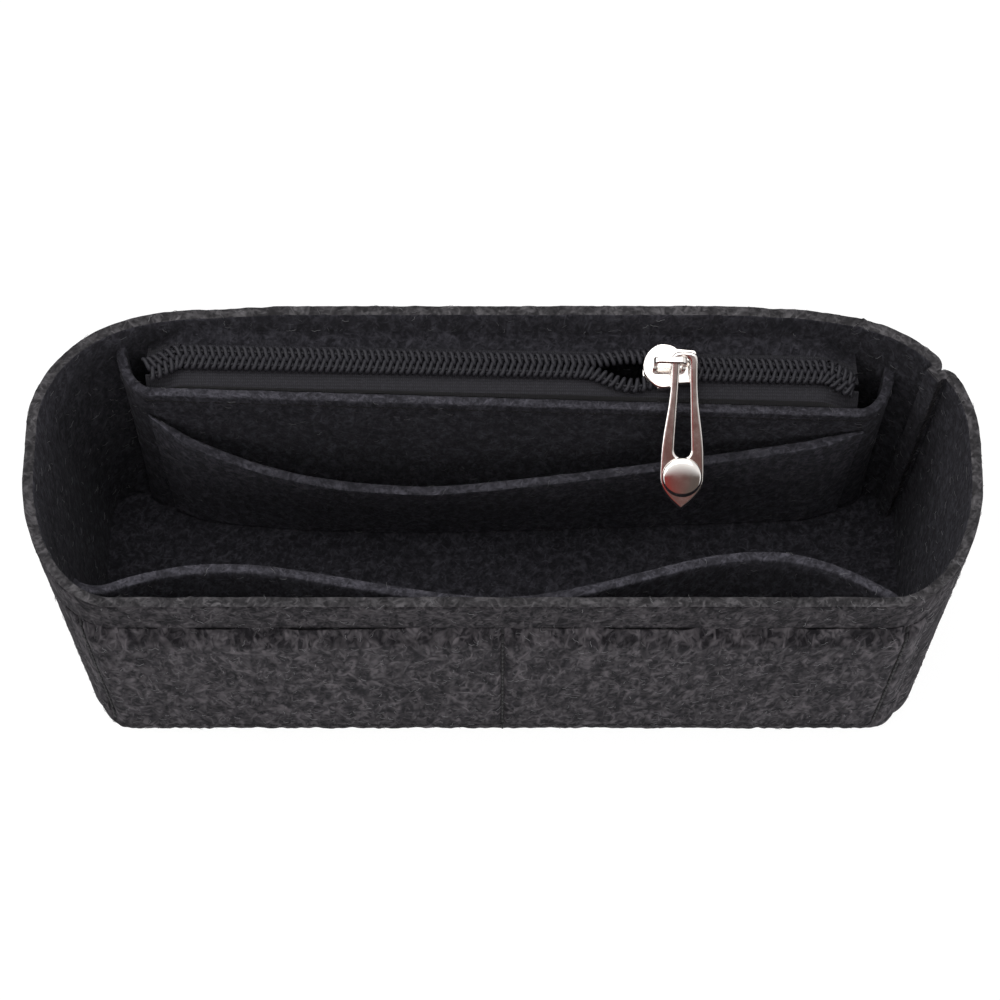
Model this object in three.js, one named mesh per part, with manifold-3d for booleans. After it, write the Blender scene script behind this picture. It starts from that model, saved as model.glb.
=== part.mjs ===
// Felt purse organizer insert: a flared felt tub with sewn pockets and a zipped pocket along its back.
// Millimetres. X runs right, Y back and Z up. The origin is under the middle of the rim, at the foot.
import * as THREE from 'three';
import { mergeVertices } from 'three/addons/utils/BufferGeometryUtils.js';
import Module from 'manifold-3d';

// Felt and sewing
const WALL_FELT = 2.6;
const POCKET_FELT = 2.3;
const BASE_FELT = 3;
const SEWN_GAP = 0.3;

// Tub at its rim, and how far its walls flare up from the foot
const HEIGHT = 90;
const RIM_HALF_LENGTH = 108.5;
const RIM_HALF_DEPTH = 38;
const RIM_LEFT_BACK_CORNER_LENGTH = 38;
const RIM_LEFT_BACK_CORNER_DEPTH = 31;
const RIM_RIGHT_BACK_CORNER_LENGTH = 42;
const RIM_RIGHT_BACK_CORNER_DEPTH = 33;
const RIM_FRONT_CORNER_LENGTH = 22;
const RIM_FRONT_CORNER_DEPTH = 34;
const END_FLARE = 6;
const FRONT_FLARE = 8;
const BACK_FLARE = 5;
const FOOT_CORNER = 10;

// Seam that closes the wrapped wall, in the right rear corner
const SEAM_PLACE = 0.355;
const SEAM_ROLL = 3.2;
const SEAM_ALLOWANCE = 1.5;

// Pocket on the outside of the front wall
const OUTER_DROP = 15;
const OUTER_LEFT_INSET = 9.5;
const OUTER_RIGHT_INSET = 11;
const OUTER_CORNER = 8;
const OUTER_BULGE = 0.5;

// Pair of pockets on the inside of the front wall
const INNER_DROP = 8;
const INNER_LEFT_INSET = 12;
const INNER_RIGHT_INSET = 19.5;
const INNER_LEFT_BULGE = 8.2;
const INNER_RIGHT_BULGE = 11.2;
const INNER_FOOT_SHARE = 0.3;
const INNER_SKEW = 1.63;

// Zipped pocket on the back wall; each drop is at the left end, each fall is from there to the right end
const ZIP_DROP = 7.8;
const ZIP_FALL = 3.6;
const ZIP_TILT = THREE.MathUtils.degToRad(10);
const ZIP_DRIFT = 2.6;
const PANEL_DROP = 9.2;
const PANEL_FALL = 6.2;
const PANEL_LEFT_INSET = 20.5;
const PANEL_RIGHT_INSET = 18.5;
const PANEL_CORNER = 4;
const PANEL_FOOT_SHARE = 0.15;

// Slip pocket in front of it
const SLIP_DROP = 20.5;
const SLIP_FALL = 4.5;
const SLIP_DIP = 17.8;
const SLIP_BULGE = 10.4;
const SLIP_FOOT_SHARE = 0.35;
const SLIP_LOW_POINT = -18;
const SLIP_SETBACK = 0.5;

// Zip chain and tape
const COIL_PITCH = 1.55;
const COIL_HALF_WIDTH = 3;
const COIL_SPINE = 1.5;
const COIL_REACH = 0.5;
const COIL_HEIGHT = 1.7;
const TOOTH_ROOT = 0.72;
const TOOTH_TIP = 0.58;
const CHAIN_END_INSET = 25.5;
const CHAIN_END_BEND = 2;
const CHAIN_END_RUN = 11;
const TAPE = 0.6;
const TAPE_SLOT = 0.95;
const TAPE_FLANGE = 5;

// Slider
const SLIDER_REST = 38.8;
const SLIDER_LENGTH = 12.4;
const SLIDER_SHOULDER = 1.8;
const SLIDER_NOSE_FULLNESS = 0.55;
const SLIDER_TAIL_ROUND = 1;
const SLIDER_PLATE = 1;
const RAIL = 0.75;
const ROW_SPREAD = 1.35;
const ROW_SAG = 1.8;
const ROW_SAG_RUN = 2;
const ROW_OPEN_RUN = 2.5;
const ROW_CLOSE_RUN = 14;
const POST_LENGTH = 3.2;
const POST_WIDTH = 1;
const RUNNING_GAP = 0.3;
const SIDE_ROOM = 0.7;
const BAIL_WIDTH = 1.6;
const BAIL_BAND = 1.1;
const BAIL_ROOM = 3.7;
const BAIL_NOSE_FOOT = -4;
const BAIL_TAIL_FOOT = 3.8;
const BAIL_ROUND = 1.4;

// Pull
const PULL_LENGTH = 36.7;
const PULL_FELL = THREE.MathUtils.degToRad(18);
const PULL_THICK = 1.4;
const PULL_EDGE = 0.25;
const PULL_EYE_HALF = 3.1;
const PULL_HALF_WIDTH = 5.15;
const PULL_TIP_FULLNESS = 0.7;
const PULL_EYE_ROUND = 1;
const PULL_LEG = 1.5;
const PULL_SLOT_TOP_HALF = 1.05;
const PULL_SLOT_LOW_HALF = 1.9;
const PULL_RIVET_FROM_TIP = 7.6;
const PULL_AXIS_RISE = 2.48;
const RIVET_RADIUS = 4.6;
const RIVET_DOME = 1.7;
const RIVET_RIM = 0.3;
const RIVET_SHANK = 1.5;
const RIVET_TAIL_RADIUS = 2.4;
const RIVET_TAIL = 0.6;

// Facets
const CORNER_STEPS = 8;
const SIDE_STEPS = 3;
const ROLL_STEPS = 4;
const WALL_ROWS = 3;
const POCKET_ROWS = 6;
const OUTER_ROWS = 4;
const OUTER_COLUMNS = 33;
const OUTER_CORNER_STEPS = 4;
const INNER_COLUMNS = 45;
const SLIP_COLUMNS = 37;
const PANEL_TURN_STEPS = 6;
const PANEL_RUN_STEPS = 16;
const TAPE_COLUMNS = 49;
const SPINE_STEPS = 60;
const PLAN_STEPS = 6;
const DOME_STEPS = 4;
const RIVET_SIDES = 24;
const SLOPE_STEP = 0.05;

// Finishes
const finish = (color, roughness, metalness) => (name) => (
  new THREE.MeshStandardMaterial({ name, color, roughness, metalness })
);
const felt = finish(0x3a3a3e, 0.97, 0);
const tapeCloth = finish(0x141416, 0.9, 0);
const nylon = finish(0x1b1b1e, 0.45, 0);
const nickel = finish(0xd6d0cb, 0.14, 1);

// Levels and lengths that follow from the driving sizes
const floorTop = BASE_FELT + SEWN_GAP;
const innerTop = HEIGHT - INNER_DROP;
const outerTop = HEIGHT - OUTER_DROP;
const sliderHalfWidth = COIL_HALF_WIDTH + ROW_SPREAD + RUNNING_GAP + RAIL;
const panelReach = sliderHalfWidth + TAPE + SIDE_ROOM;
const chainLeft = -(RIM_HALF_LENGTH - CHAIN_END_INSET);
const chainRight = RIM_HALF_LENGTH - CHAIN_END_INSET;
const panelLeft = -(RIM_HALF_LENGTH - PANEL_LEFT_INSET);
const panelRight = RIM_HALF_LENGTH - PANEL_RIGHT_INSET;

const lerp = THREE.MathUtils.lerp;
const inverseLerp = THREE.MathUtils.inverseLerp;
const zipLevel = (x) => HEIGHT - ZIP_DROP - ZIP_FALL * inverseLerp(chainLeft, chainRight, x);
const panelTop = (x) => HEIGHT - PANEL_DROP - PANEL_FALL * inverseLerp(panelLeft, panelRight, x);
const ease = (value, from, to) => {
  const share = THREE.MathUtils.clamp((value - from) / (to - from), 0, 1);
  return share * share * (3 - 2 * share);
};

// Plan of the tub at one height: a rectangle with elliptical corners, set in by a felt thickness.
function tubAt(z, inset) {
  const rise = z / HEIGHT;
  const drop = 1 - rise;
  const corner = (rimLength, rimDepth) => new THREE.Vector2(
    lerp(FOOT_CORNER, rimLength, rise) - inset,
    lerp(FOOT_CORNER, rimDepth, rise) - inset,
  );
  return {
    halfLength: RIM_HALF_LENGTH - END_FLARE * drop - inset,
    back: RIM_HALF_DEPTH - BACK_FLARE * drop - inset,
    front: -RIM_HALF_DEPTH + FRONT_FLARE * drop + inset,
    leftBackCorner: corner(RIM_LEFT_BACK_CORNER_LENGTH, RIM_LEFT_BACK_CORNER_DEPTH),
    rightBackCorner: corner(RIM_RIGHT_BACK_CORNER_LENGTH, RIM_RIGHT_BACK_CORNER_DEPTH),
    frontCorner: corner(RIM_FRONT_CORNER_LENGTH, RIM_FRONT_CORNER_DEPTH),
  };
}

// One corner of the plan; the quarters run from the right rear round by the back, left and front.
function tubCorner(tub, quarter, share) {
  const atBack = quarter < 2;
  const side = quarter === 0 || quarter === 3 ? 1 : -1;
  const backCorner = side > 0 ? tub.rightBackCorner : tub.leftBackCorner;
  const radii = atBack ? backCorner : tub.frontCorner;
  const angle = (quarter + share) * Math.PI / 2;
  const centre = new THREE.Vector2(
    side * (tub.halfLength - radii.x),
    atBack ? tub.back - radii.y : tub.front + radii.y,
  );
  const turn = new THREE.Vector2(Math.cos(angle), Math.sin(angle));
  return {
    point: new THREE.Vector2(centre.x + radii.x * turn.x, centre.y + radii.y * turn.y),
    normal: new THREE.Vector2(turn.x / radii.x, turn.y / radii.y).normalize(),
  };
}

// A point on the plan: whole numbers are the ends of the four corners and of the four sides between them.
function tubPoint(tub, place) {
  const turn = THREE.MathUtils.euclideanModulo(place, 8);
  const index = Math.floor(turn);
  const share = turn - index;
  if (index % 2 === 0) {
    return tubCorner(tub, index / 2, share);
  }
  const from = tubCorner(tub, (index - 1) / 2, 1);
  const to = tubCorner(tub, ((index + 1) / 2) % 4, 0);
  return { point: from.point.clone().lerp(to.point, share), normal: from.normal };
}

// Roll where one end of the wall turns in, touching the seam line; side is 1 or -1 along the wall.
function seamRoll(z, side) {
  const tub = tubAt(z, 0);
  const seam = tubPoint(tub, SEAM_PLACE);
  const along = new THREE.Vector2(-seam.normal.y, seam.normal.x).multiplyScalar(side);
  const rollAt = (place) => {
    const start = tubPoint(tub, place);
    return { place, start, centre: start.point.clone().addScaledVector(start.normal, -SEAM_ROLL) };
  };
  let near = SEAM_PLACE;
  let far = SEAM_PLACE + side;
  for (let step = 0; step < 40; step += 1) {
    const middle = (near + far) / 2;
    const reach = rollAt(middle).centre.sub(seam.point).dot(along);
    if (reach < SEAM_ROLL + SEWN_GAP / 2) {
      near = middle;
    } else {
      far = middle;
    }
  }
  return { ...rollAt(far), along, inward: seam.normal.clone().negate() };
}

// Rolled end of the wall, from the tip of the seam allowance out to the wall's own face.
function seamEnd(roll, inset, allowance) {
  const radius = SEAM_ROLL - inset;
  const touch = roll.centre.clone().addScaledVector(roll.along, -radius);
  const points = [touch.clone().addScaledVector(roll.inward, allowance), touch];
  const from = roll.along.clone().negate();
  for (let step = 1; step < ROLL_STEPS; step += 1) {
    const spoke = from.clone().lerp(roll.start.normal, step / ROLL_STEPS).normalize();
    points.push(roll.centre.clone().addScaledVector(spoke, radius));
  }
  return points;
}

// Whole line of the wall at one height, from one seam allowance round the tub to the other.
function wallLine(z, inset, allowance) {
  const tub = tubAt(z, inset);
  const first = seamRoll(z, 1);
  const last = seamRoll(z, -1);
  const stops = [first.place, 1, 2, 3, 4, 5, 6, 7, 8 + last.place];
  const points = seamEnd(first, inset, allowance);
  for (let index = 0; index < stops.length - 1; index += 1) {
    const isSide = index % 2 === 1 && index < 7;
    const steps = isSide ? SIDE_STEPS : CORNER_STEPS;
    for (let step = 0; step < steps; step += 1) {
      points.push(tubPoint(tub, lerp(stops[index], stops[index + 1], step / steps)).point);
    }
  }
  points.push(tubPoint(tub, stops[stops.length - 1]).point);
  return points.concat(seamEnd(last, inset, allowance).reverse());
}

// Face of the long walls above or below a point of X, on the back or on the front.
function backFace(x, z, inset) {
  const tub = tubAt(z, inset);
  const corner = x > 0 ? tub.rightBackCorner : tub.leftBackCorner;
  const past = Math.max(0, Math.abs(x) - (tub.halfLength - corner.x)) / corner.x;
  return tub.back - corner.y * (1 - Math.sqrt(Math.max(0, 1 - past * past)));
}

function frontFace(x, z, inset) {
  const tub = tubAt(z, inset);
  const past = Math.max(0, Math.abs(x) - (tub.halfLength - tub.frontCorner.x)) / tub.frontCorner.x;
  return tub.front + tub.frontCorner.y * (1 - Math.sqrt(Math.max(0, 1 - past * past)));
}

// Turns a closed mesh inside out where its volume comes out negative.
function facingOut(geometry) {
  const position = geometry.getAttribute('position');
  const index = geometry.index.array;
  const corners = [0, 1, 2].map(() => new THREE.Vector3());
  let volume = 0;
  for (let start = 0; start < index.length; start += 3) {
    corners.forEach((corner, offset) => corner.fromBufferAttribute(position, index[start + offset]));
    volume += corners[0].dot(corners[1].cross(corners[2]));
  }
  if (volume < 0) {
    for (let start = 0; start < index.length; start += 3) {
      [index[start], index[start + 1]] = [index[start + 1], index[start]];
    }
  }
  return geometry;
}

// Closed solid between two faces given on the same grid of columns and rows.
function sheetSolid(columns, rows, nearFace, farFace) {
  const points = [];
  for (const face of [nearFace, farFace]) {
    for (let row = 0; row < rows; row += 1) {
      for (let column = 0; column < columns; column += 1) {
        points.push(face(column, row));
      }
    }
  }
  const near = (column, row) => row * columns + column;
  const far = (column, row) => columns * rows + near(column, row);
  const triangles = [];
  const quad = (a, b, c, d) => triangles.push(a, b, c, a, c, d);
  for (let row = 0; row < rows - 1; row += 1) {
    for (let column = 0; column < columns - 1; column += 1) {
      quad(near(column, row), near(column + 1, row), near(column + 1, row + 1), near(column, row + 1));
      quad(far(column, row), far(column, row + 1), far(column + 1, row + 1), far(column + 1, row));
    }
    const end = columns - 1;
    quad(near(0, row), near(0, row + 1), far(0, row + 1), far(0, row));
    quad(near(end, row), far(end, row), far(end, row + 1), near(end, row + 1));
  }
  for (let column = 0; column < columns - 1; column += 1) {
    const top = rows - 1;
    quad(near(column, 0), far(column, 0), far(column + 1, 0), near(column + 1, 0));
    quad(near(column, top), near(column + 1, top), far(column + 1, top), far(column, top));
  }
  const geometry = new THREE.BufferGeometry().setFromPoints(points);
  geometry.setIndex(triangles);
  return facingOut(geometry);
}

// Even columns of a sheet, from its left end to its right end.
function evenStations(left, right, columns) {
  return Array.from({ length: columns }, (_, column) => lerp(left, right, column / (columns - 1)));
}

// Pocket sheet whose near face is y(x, z); the felt thickens it in Y towards side 1 or -1.
function pocketSheet({ stations, rows, bottom, top, y, side }) {
  const cell = (column, row) => {
    const x = stations[column];
    return { x, z: lerp(bottom(x), top(x), row / (rows - 1)) };
  };
  const near = (column, row) => {
    const { x, z } = cell(column, row);
    return new THREE.Vector3(x, y(x, z), z);
  };
  const far = (column, row) => {
    const { x, z } = cell(column, row);
    const slope = (y(x + SLOPE_STEP, z) - y(x - SLOPE_STEP, z)) / (2 * SLOPE_STEP);
    return new THREE.Vector3(x, y(x, z) + side * POCKET_FELT * Math.hypot(1, slope), z);
  };
  return sheetSolid(stations.length, rows, near, far);
}

function meshOf(name, geometry, material) {
  geometry.computeVertexNormals();
  const mesh = new THREE.Mesh(geometry, material);
  mesh.name = name;
  return mesh;
}

// Felt wall: one strip wrapped round the tub, its two ends turned in at the rear seam.
function wallWrap() {
  const levels = Array.from({ length: WALL_ROWS }, (_, row) => HEIGHT * row / (WALL_ROWS - 1));
  const outer = levels.map((z) => wallLine(z, 0, SEAM_ALLOWANCE));
  const inner = levels.map((z) => wallLine(z, WALL_FELT, SEAM_ALLOWANCE));
  const lift = (line, column, row) => new THREE.Vector3(line[column].x, line[column].y, levels[row]);
  return sheetSolid(
    outer[0].length,
    WALL_ROWS,
    (column, row) => lift(outer[row], column, row),
    (column, row) => lift(inner[row], column, row),
  );
}

// Base: a felt panel inside the foot of the wall, notched round the seam allowance.
function basePanel() {
  const outline = wallLine(0, WALL_FELT + SEWN_GAP, SEAM_ALLOWANCE + SEWN_GAP);
  const shape = new THREE.Shape(outline);
  return plainMesh(new THREE.ExtrudeGeometry(shape, { depth: BASE_FELT, bevelEnabled: false }));
}

// Merged copy of a geometry with positions alone.
function plainMesh(geometry) {
  const plain = geometry.index ? geometry.toNonIndexed() : geometry.clone();
  plain.deleteAttribute('normal');
  plain.deleteAttribute('uv');
  return mergeVertices(plain, 1e-4);
}

// Outer pocket: flat on the front wall at its sides and its middle seam, with rounded lower corners.
function frontOuterPocket() {
  const left = -(RIM_HALF_LENGTH - OUTER_LEFT_INSET);
  const right = RIM_HALF_LENGTH - OUTER_RIGHT_INSET;
  const turns = Array.from({ length: OUTER_CORNER_STEPS }, (_, step) => (
    OUTER_CORNER * (1 - Math.cos(step / OUTER_CORNER_STEPS * Math.PI / 2))
  ));
  const stations = [
    ...turns.map((turn) => left + turn),
    ...evenStations(left + OUTER_CORNER, right - OUTER_CORNER, OUTER_COLUMNS),
    ...turns.map((turn) => right - turn).reverse(),
  ];
  const bottom = (x) => {
    const fromEnd = Math.min(x - left, right - x, OUTER_CORNER);
    return OUTER_CORNER - Math.sqrt(Math.max(0, fromEnd * (2 * OUTER_CORNER - fromEnd)));
  };
  const fullness = (x) => {
    const share = x < 0 ? x / left : x / right;
    return Math.sin(Math.PI * THREE.MathUtils.clamp(share, 0, 1)) ** 2;
  };
  return pocketSheet({
    stations,
    rows: OUTER_ROWS,
    bottom,
    top: () => outerTop,
    y: (x, z) => frontFace(x, z, 0) - SEWN_GAP - OUTER_BULGE * fullness(x) * z / outerTop,
    side: -1,
  });
}

// Inner front pockets: one strip sewn at its ends and its middle, standing away from the wall in two bows.
function frontInnerPocket() {
  const left = -(RIM_HALF_LENGTH - INNER_LEFT_INSET);
  const right = RIM_HALF_LENGTH - INNER_RIGHT_INSET;
  const bow = (x) => {
    const peak = x < 0 ? INNER_LEFT_BULGE : INNER_RIGHT_BULGE;
    const share = THREE.MathUtils.clamp(x < 0 ? x / left : x / right, 0, 1);
    return peak * Math.sin(Math.PI * share ** INNER_SKEW);
  };
  return pocketSheet({
    stations: evenStations(left, right, INNER_COLUMNS),
    rows: POCKET_ROWS,
    bottom: () => floorTop,
    top: () => innerTop,
    y: (x, z) => frontFace(x, z, WALL_FELT) + SEWN_GAP + bow(x) * lerp(INNER_FOOT_SHARE, 1, z / innerTop),
    side: 1,
  });
}

// Line of the zip in plan, and how the line turns and falls.
const zipLeftY = backFace(0, zipLevel(chainLeft), WALL_FELT) - panelReach;
const zipY = (x) => zipLeftY - ZIP_DRIFT * inverseLerp(chainLeft, chainRight, x);
const zipYaw = Math.atan2(-ZIP_DRIFT, chainRight - chainLeft);
const zipPitch = Math.atan2(ZIP_FALL, Math.hypot(ZIP_DRIFT, chainRight - chainLeft));

// Back face of the zipped pocket's panel: it leans from the base seam out to the zip.
function panelBack(x, z, share) {
  const lean = lerp(PANEL_FOOT_SHARE, 1, inverseLerp(floorTop, panelTop(x), z));
  const depth = backFace(x, panelTop(x), WALL_FELT) - SEWN_GAP - (zipY(x) - panelReach);
  return backFace(x, z, WALL_FELT) - SEWN_GAP - share * lean * depth;
}

function panelFront(x, z) {
  const rise = panelBack(x + SLOPE_STEP, z, 1) - panelBack(x - SLOPE_STEP, z, 1);
  const slope = rise / (2 * SLOPE_STEP);
  return panelBack(x, z, 1) - POCKET_FELT * Math.hypot(1, slope);
}

// Zipped pocket's panel: both ends turn back to the wall round an elliptical corner.
function zipPocketPanel() {
  const stations = [];
  for (let step = 0; step < PANEL_TURN_STEPS; step += 1) {
    const angle = step / PANEL_TURN_STEPS * Math.PI / 2;
    stations.push({ x: panelLeft + PANEL_CORNER * (1 - Math.cos(angle)), share: Math.sin(angle) });
  }
  for (let step = 0; step <= PANEL_RUN_STEPS; step += 1) {
    const x = lerp(panelLeft + PANEL_CORNER, panelRight - PANEL_CORNER, step / PANEL_RUN_STEPS);
    stations.push({ x, share: 1 });
  }
  for (let step = PANEL_TURN_STEPS - 1; step >= 0; step -= 1) {
    const angle = step / PANEL_TURN_STEPS * Math.PI / 2;
    stations.push({ x: panelRight - PANEL_CORNER * (1 - Math.cos(angle)), share: Math.sin(angle) });
  }
  const backPoint = (column, row) => {
    const { x, share } = stations[column];
    const z = lerp(floorTop, panelTop(x), row / (POCKET_ROWS - 1));
    return new THREE.Vector3(x, panelBack(x, z, share), z);
  };
  const frontPoint = (column, row) => {
    const here = backPoint(column, row);
    const before = backPoint(Math.max(column - 1, 0), row);
    const after = backPoint(Math.min(column + 1, stations.length - 1), row);
    const along = after.sub(before).normalize();
    const x = here.x + POCKET_FELT * along.y;
    const y = here.y - POCKET_FELT * along.x;
    return new THREE.Vector3(x, Math.min(y, backFace(x, here.z, WALL_FELT) - SEWN_GAP), here.z);
  };
  return sheetSolid(stations.length, POCKET_ROWS, backPoint, frontPoint);
}

// Slip pocket: sewn to the panel at both ends, its top edge dipping where it bows out furthest.
function slipPocketPanel() {
  const left = panelLeft + PANEL_CORNER + SLIP_SETBACK;
  const right = panelRight - PANEL_CORNER - SLIP_SETBACK;
  const bow = (x) => {
    const reach = x < SLIP_LOW_POINT ? left - SLIP_LOW_POINT : right - SLIP_LOW_POINT;
    const share = THREE.MathUtils.clamp((x - SLIP_LOW_POINT) / reach, 0, 1);
    return Math.cos(share * Math.PI / 2) ** 2;
  };
  const top = (x) => HEIGHT - SLIP_DROP - SLIP_FALL * inverseLerp(left, right, x) - SLIP_DIP * bow(x);
  const fullness = (x, z) => SLIP_BULGE * bow(x) * lerp(SLIP_FOOT_SHARE, 1, z / top(x));
  return pocketSheet({
    stations: evenStations(left, right, SLIP_COLUMNS),
    rows: POCKET_ROWS,
    bottom: () => floorTop,
    top,
    y: (x, z) => panelFront(x, z) - SEWN_GAP - fullness(x, z),
    side: -1,
  });
}

// Sideways run of a coil row: spread round the post, sagging before the nose, bent in at both ends.
function rowShift(u, side) {
  const s = u - SLIDER_REST;
  const nose = -SLIDER_LENGTH / 2;
  const spread = ROW_SPREAD * ease(s, SLIDER_SHOULDER, -SLIDER_SHOULDER);
  const sag = side < 0 ? ROW_SAG * ease(s, -SLIDER_SHOULDER, nose - ROW_SAG_RUN) : 0;
  const closing = 1 - ease(s, nose - ROW_OPEN_RUN, nose - ROW_CLOSE_RUN);
  const rightBend = ease(u, chainRight - CHAIN_END_RUN, chainRight);
  const leftBend = ease(u, chainLeft + CHAIN_END_RUN, chainLeft);
  return side * (spread + sag) * closing - CHAIN_END_BEND * (rightBend + leftBend);
}

// One row of zip teeth on its spine, cut as a comb and raised to its height.
function coilRow(side) {
  const count = Math.floor((chainRight - chainLeft - COIL_PITCH) / COIL_PITCH);
  const toothPlace = (tooth) => chainLeft + (tooth + (side > 0 ? 0.5 : 1)) * COIL_PITCH;
  const place = (u, v) => new THREE.Vector2(u, side * v + rowShift(u, side));
  const outline = [];
  for (let tooth = 0; tooth < count; tooth += 1) {
    const u = toothPlace(tooth);
    outline.push(place(u - TOOTH_ROOT / 2, COIL_SPINE));
    outline.push(place(u - TOOTH_TIP / 2, -COIL_REACH));
    outline.push(place(u + TOOTH_TIP / 2, -COIL_REACH));
    outline.push(place(u + TOOTH_ROOT / 2, COIL_SPINE));
  }
  const from = toothPlace(0) - TOOTH_ROOT / 2;
  const to = toothPlace(count - 1) + TOOTH_ROOT / 2;
  for (let step = 0; step <= SPINE_STEPS; step += 1) {
    outline.push(place(lerp(to, from, step / SPINE_STEPS), COIL_HALF_WIDTH));
  }
  const shape = new THREE.Shape(outline);
  const geometry = new THREE.ExtrudeGeometry(shape, { depth: COIL_HEIGHT, bevelEnabled: false });
  geometry.translate(0, 0, TAPE / 2 + RUNNING_GAP);
  return facingOut(plainMesh(geometry));
}

// Tape: flat beside the chain, then turned down where it is sewn to the felt.
function zipTape(side) {
  const across = new THREE.Vector2(Math.cos(ZIP_TILT), Math.sin(ZIP_TILT));
  const onTape = (x, v) => new THREE.Vector2(zipY(x), zipLevel(x)).addScaledVector(across, v);
  const feltFace = (x, z) => (side > 0 ? backFace(x, z, WALL_FELT) : panelBack(x, z, 1));
  const middle = (x) => {
    const inner = onTape(x, side * TAPE_SLOT + rowShift(x, side));
    const sewnAt = (z) => new THREE.Vector2(feltFace(x, z) - side * (SEWN_GAP + TAPE / 2), z);
    const outerLevel = zipLevel(x) + side * panelReach * Math.sin(ZIP_TILT);
    const fold = sewnAt(outerLevel);
    fold.y = zipLevel(x) + (fold.x - zipY(x)) * Math.tan(ZIP_TILT);
    return [inner, fold, sewnAt(outerLevel - TAPE_FLANGE)];
  };
  const face = (sign) => (column, row) => {
    const x = lerp(chainLeft, chainRight, column / (TAPE_COLUMNS - 1));
    const line = middle(x);
    const into = line[Math.max(row, 1)].clone().sub(line[Math.max(row, 1) - 1]).normalize();
    const out = line[Math.min(row + 1, 2)].clone().sub(line[Math.min(row, 1)]).normalize();
    const mitre = into.add(out).normalize();
    const stretch = sign * TAPE / 2 / Math.max(mitre.dot(out), 0.5);
    return new THREE.Vector3(x, line[row].x - mitre.y * stretch, line[row].y + mitre.x * stretch);
  };
  return sheetSolid(TAPE_COLUMNS, 3, face(1), face(-1));
}

const wasm = await Module();
wasm.setup();

// Closed solid for joining and cutting.
function solidOf(geometry) {
  const plain = facingOut(plainMesh(geometry));
  return new wasm.Manifold(new wasm.Mesh({
    numProp: 3,
    vertProperties: new Float32Array(plain.getAttribute('position').array),
    triVerts: new Uint32Array(plain.index.array),
  }));
}

function geometryOf(solid) {
  const mesh = solid.getMesh();
  const geometry = new THREE.BufferGeometry();
  geometry.setAttribute('position', new THREE.BufferAttribute(new Float32Array(mesh.vertProperties), 3));
  geometry.setIndex(Array.from(mesh.triVerts));
  return geometry;
}

// Levels of the slider over the middle of the tape.
const plateUnder = TAPE / 2 + RUNNING_GAP + COIL_HEIGHT + RUNNING_GAP;
const plateTop = plateUnder + SLIDER_PLATE;
const soleTop = -TAPE / 2 - RUNNING_GAP;
const tailHalfWidth = COIL_HALF_WIDTH + RUNNING_GAP + RAIL;
const raised = (shape, from, to) => {
  const settings = { depth: to - from, bevelEnabled: false, curveSegments: PLAN_STEPS };
  return solidOf(new THREE.ExtrudeGeometry(shape, settings).translate(0, 0, from));
};

// Slider plan: a rounded nose, wide shoulders and a narrower tail.
function sliderPlan() {
  const nose = -SLIDER_LENGTH / 2;
  const tail = SLIDER_LENGTH / 2;
  const tailTurn = tail - SLIDER_TAIL_ROUND;
  const tailSide = tailHalfWidth - SLIDER_TAIL_ROUND;
  const cheek = -SLIDER_SHOULDER * 2;
  const noseSide = sliderHalfWidth * SLIDER_NOSE_FULLNESS;
  const shape = new THREE.Shape();
  shape.moveTo(nose, 0);
  shape.bezierCurveTo(nose, -noseSide, cheek, -sliderHalfWidth, -SLIDER_SHOULDER, -sliderHalfWidth);
  shape.quadraticCurveTo(SLIDER_SHOULDER / 2, -sliderHalfWidth, SLIDER_SHOULDER, -tailHalfWidth);
  shape.lineTo(tailTurn, -tailHalfWidth);
  shape.quadraticCurveTo(tail, -tailHalfWidth, tail, -tailSide);
  shape.lineTo(tail, tailSide);
  shape.quadraticCurveTo(tail, tailHalfWidth, tailTurn, tailHalfWidth);
  shape.lineTo(SLIDER_SHOULDER, tailHalfWidth);
  shape.quadraticCurveTo(SLIDER_SHOULDER / 2, sliderHalfWidth, -SLIDER_SHOULDER, sliderHalfWidth);
  shape.bezierCurveTo(cheek, sliderHalfWidth, nose, noseSide, nose, 0);
  return shape;
}

// Channel between the rails: narrow over the meshed chain, opening round the post to the nose.
function channelPlan() {
  const past = 1;
  const meshed = COIL_HALF_WIDTH + RUNNING_GAP;
  const spread = meshed + ROW_SPREAD;
  const mouth = spread + ROW_SAG + past;
  const tail = SLIDER_LENGTH / 2 + past;
  const nose = -SLIDER_LENGTH / 2 - past;
  const half = [[tail, meshed], [SLIDER_SHOULDER, meshed], [-SLIDER_SHOULDER, spread], [nose, mouth]];
  const other = half.map(([s, v]) => [s, -v]).reverse();
  return new THREE.Shape(half.concat(other).map(([s, v]) => new THREE.Vector2(s, v)));
}

// Post between the plates, pointed towards the tail.
function postPlan() {
  const front = -SLIDER_LENGTH / 2 + SLIDER_PLATE;
  const shape = new THREE.Shape();
  shape.moveTo(front, 0);
  shape.quadraticCurveTo(front, -POST_WIDTH / 2, front + POST_LENGTH / 2, -POST_WIDTH / 2);
  shape.lineTo(front + POST_LENGTH, 0);
  shape.lineTo(front + POST_LENGTH / 2, POST_WIDTH / 2);
  shape.quadraticCurveTo(front, POST_WIDTH / 2, front, 0);
  return shape;
}

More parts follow.
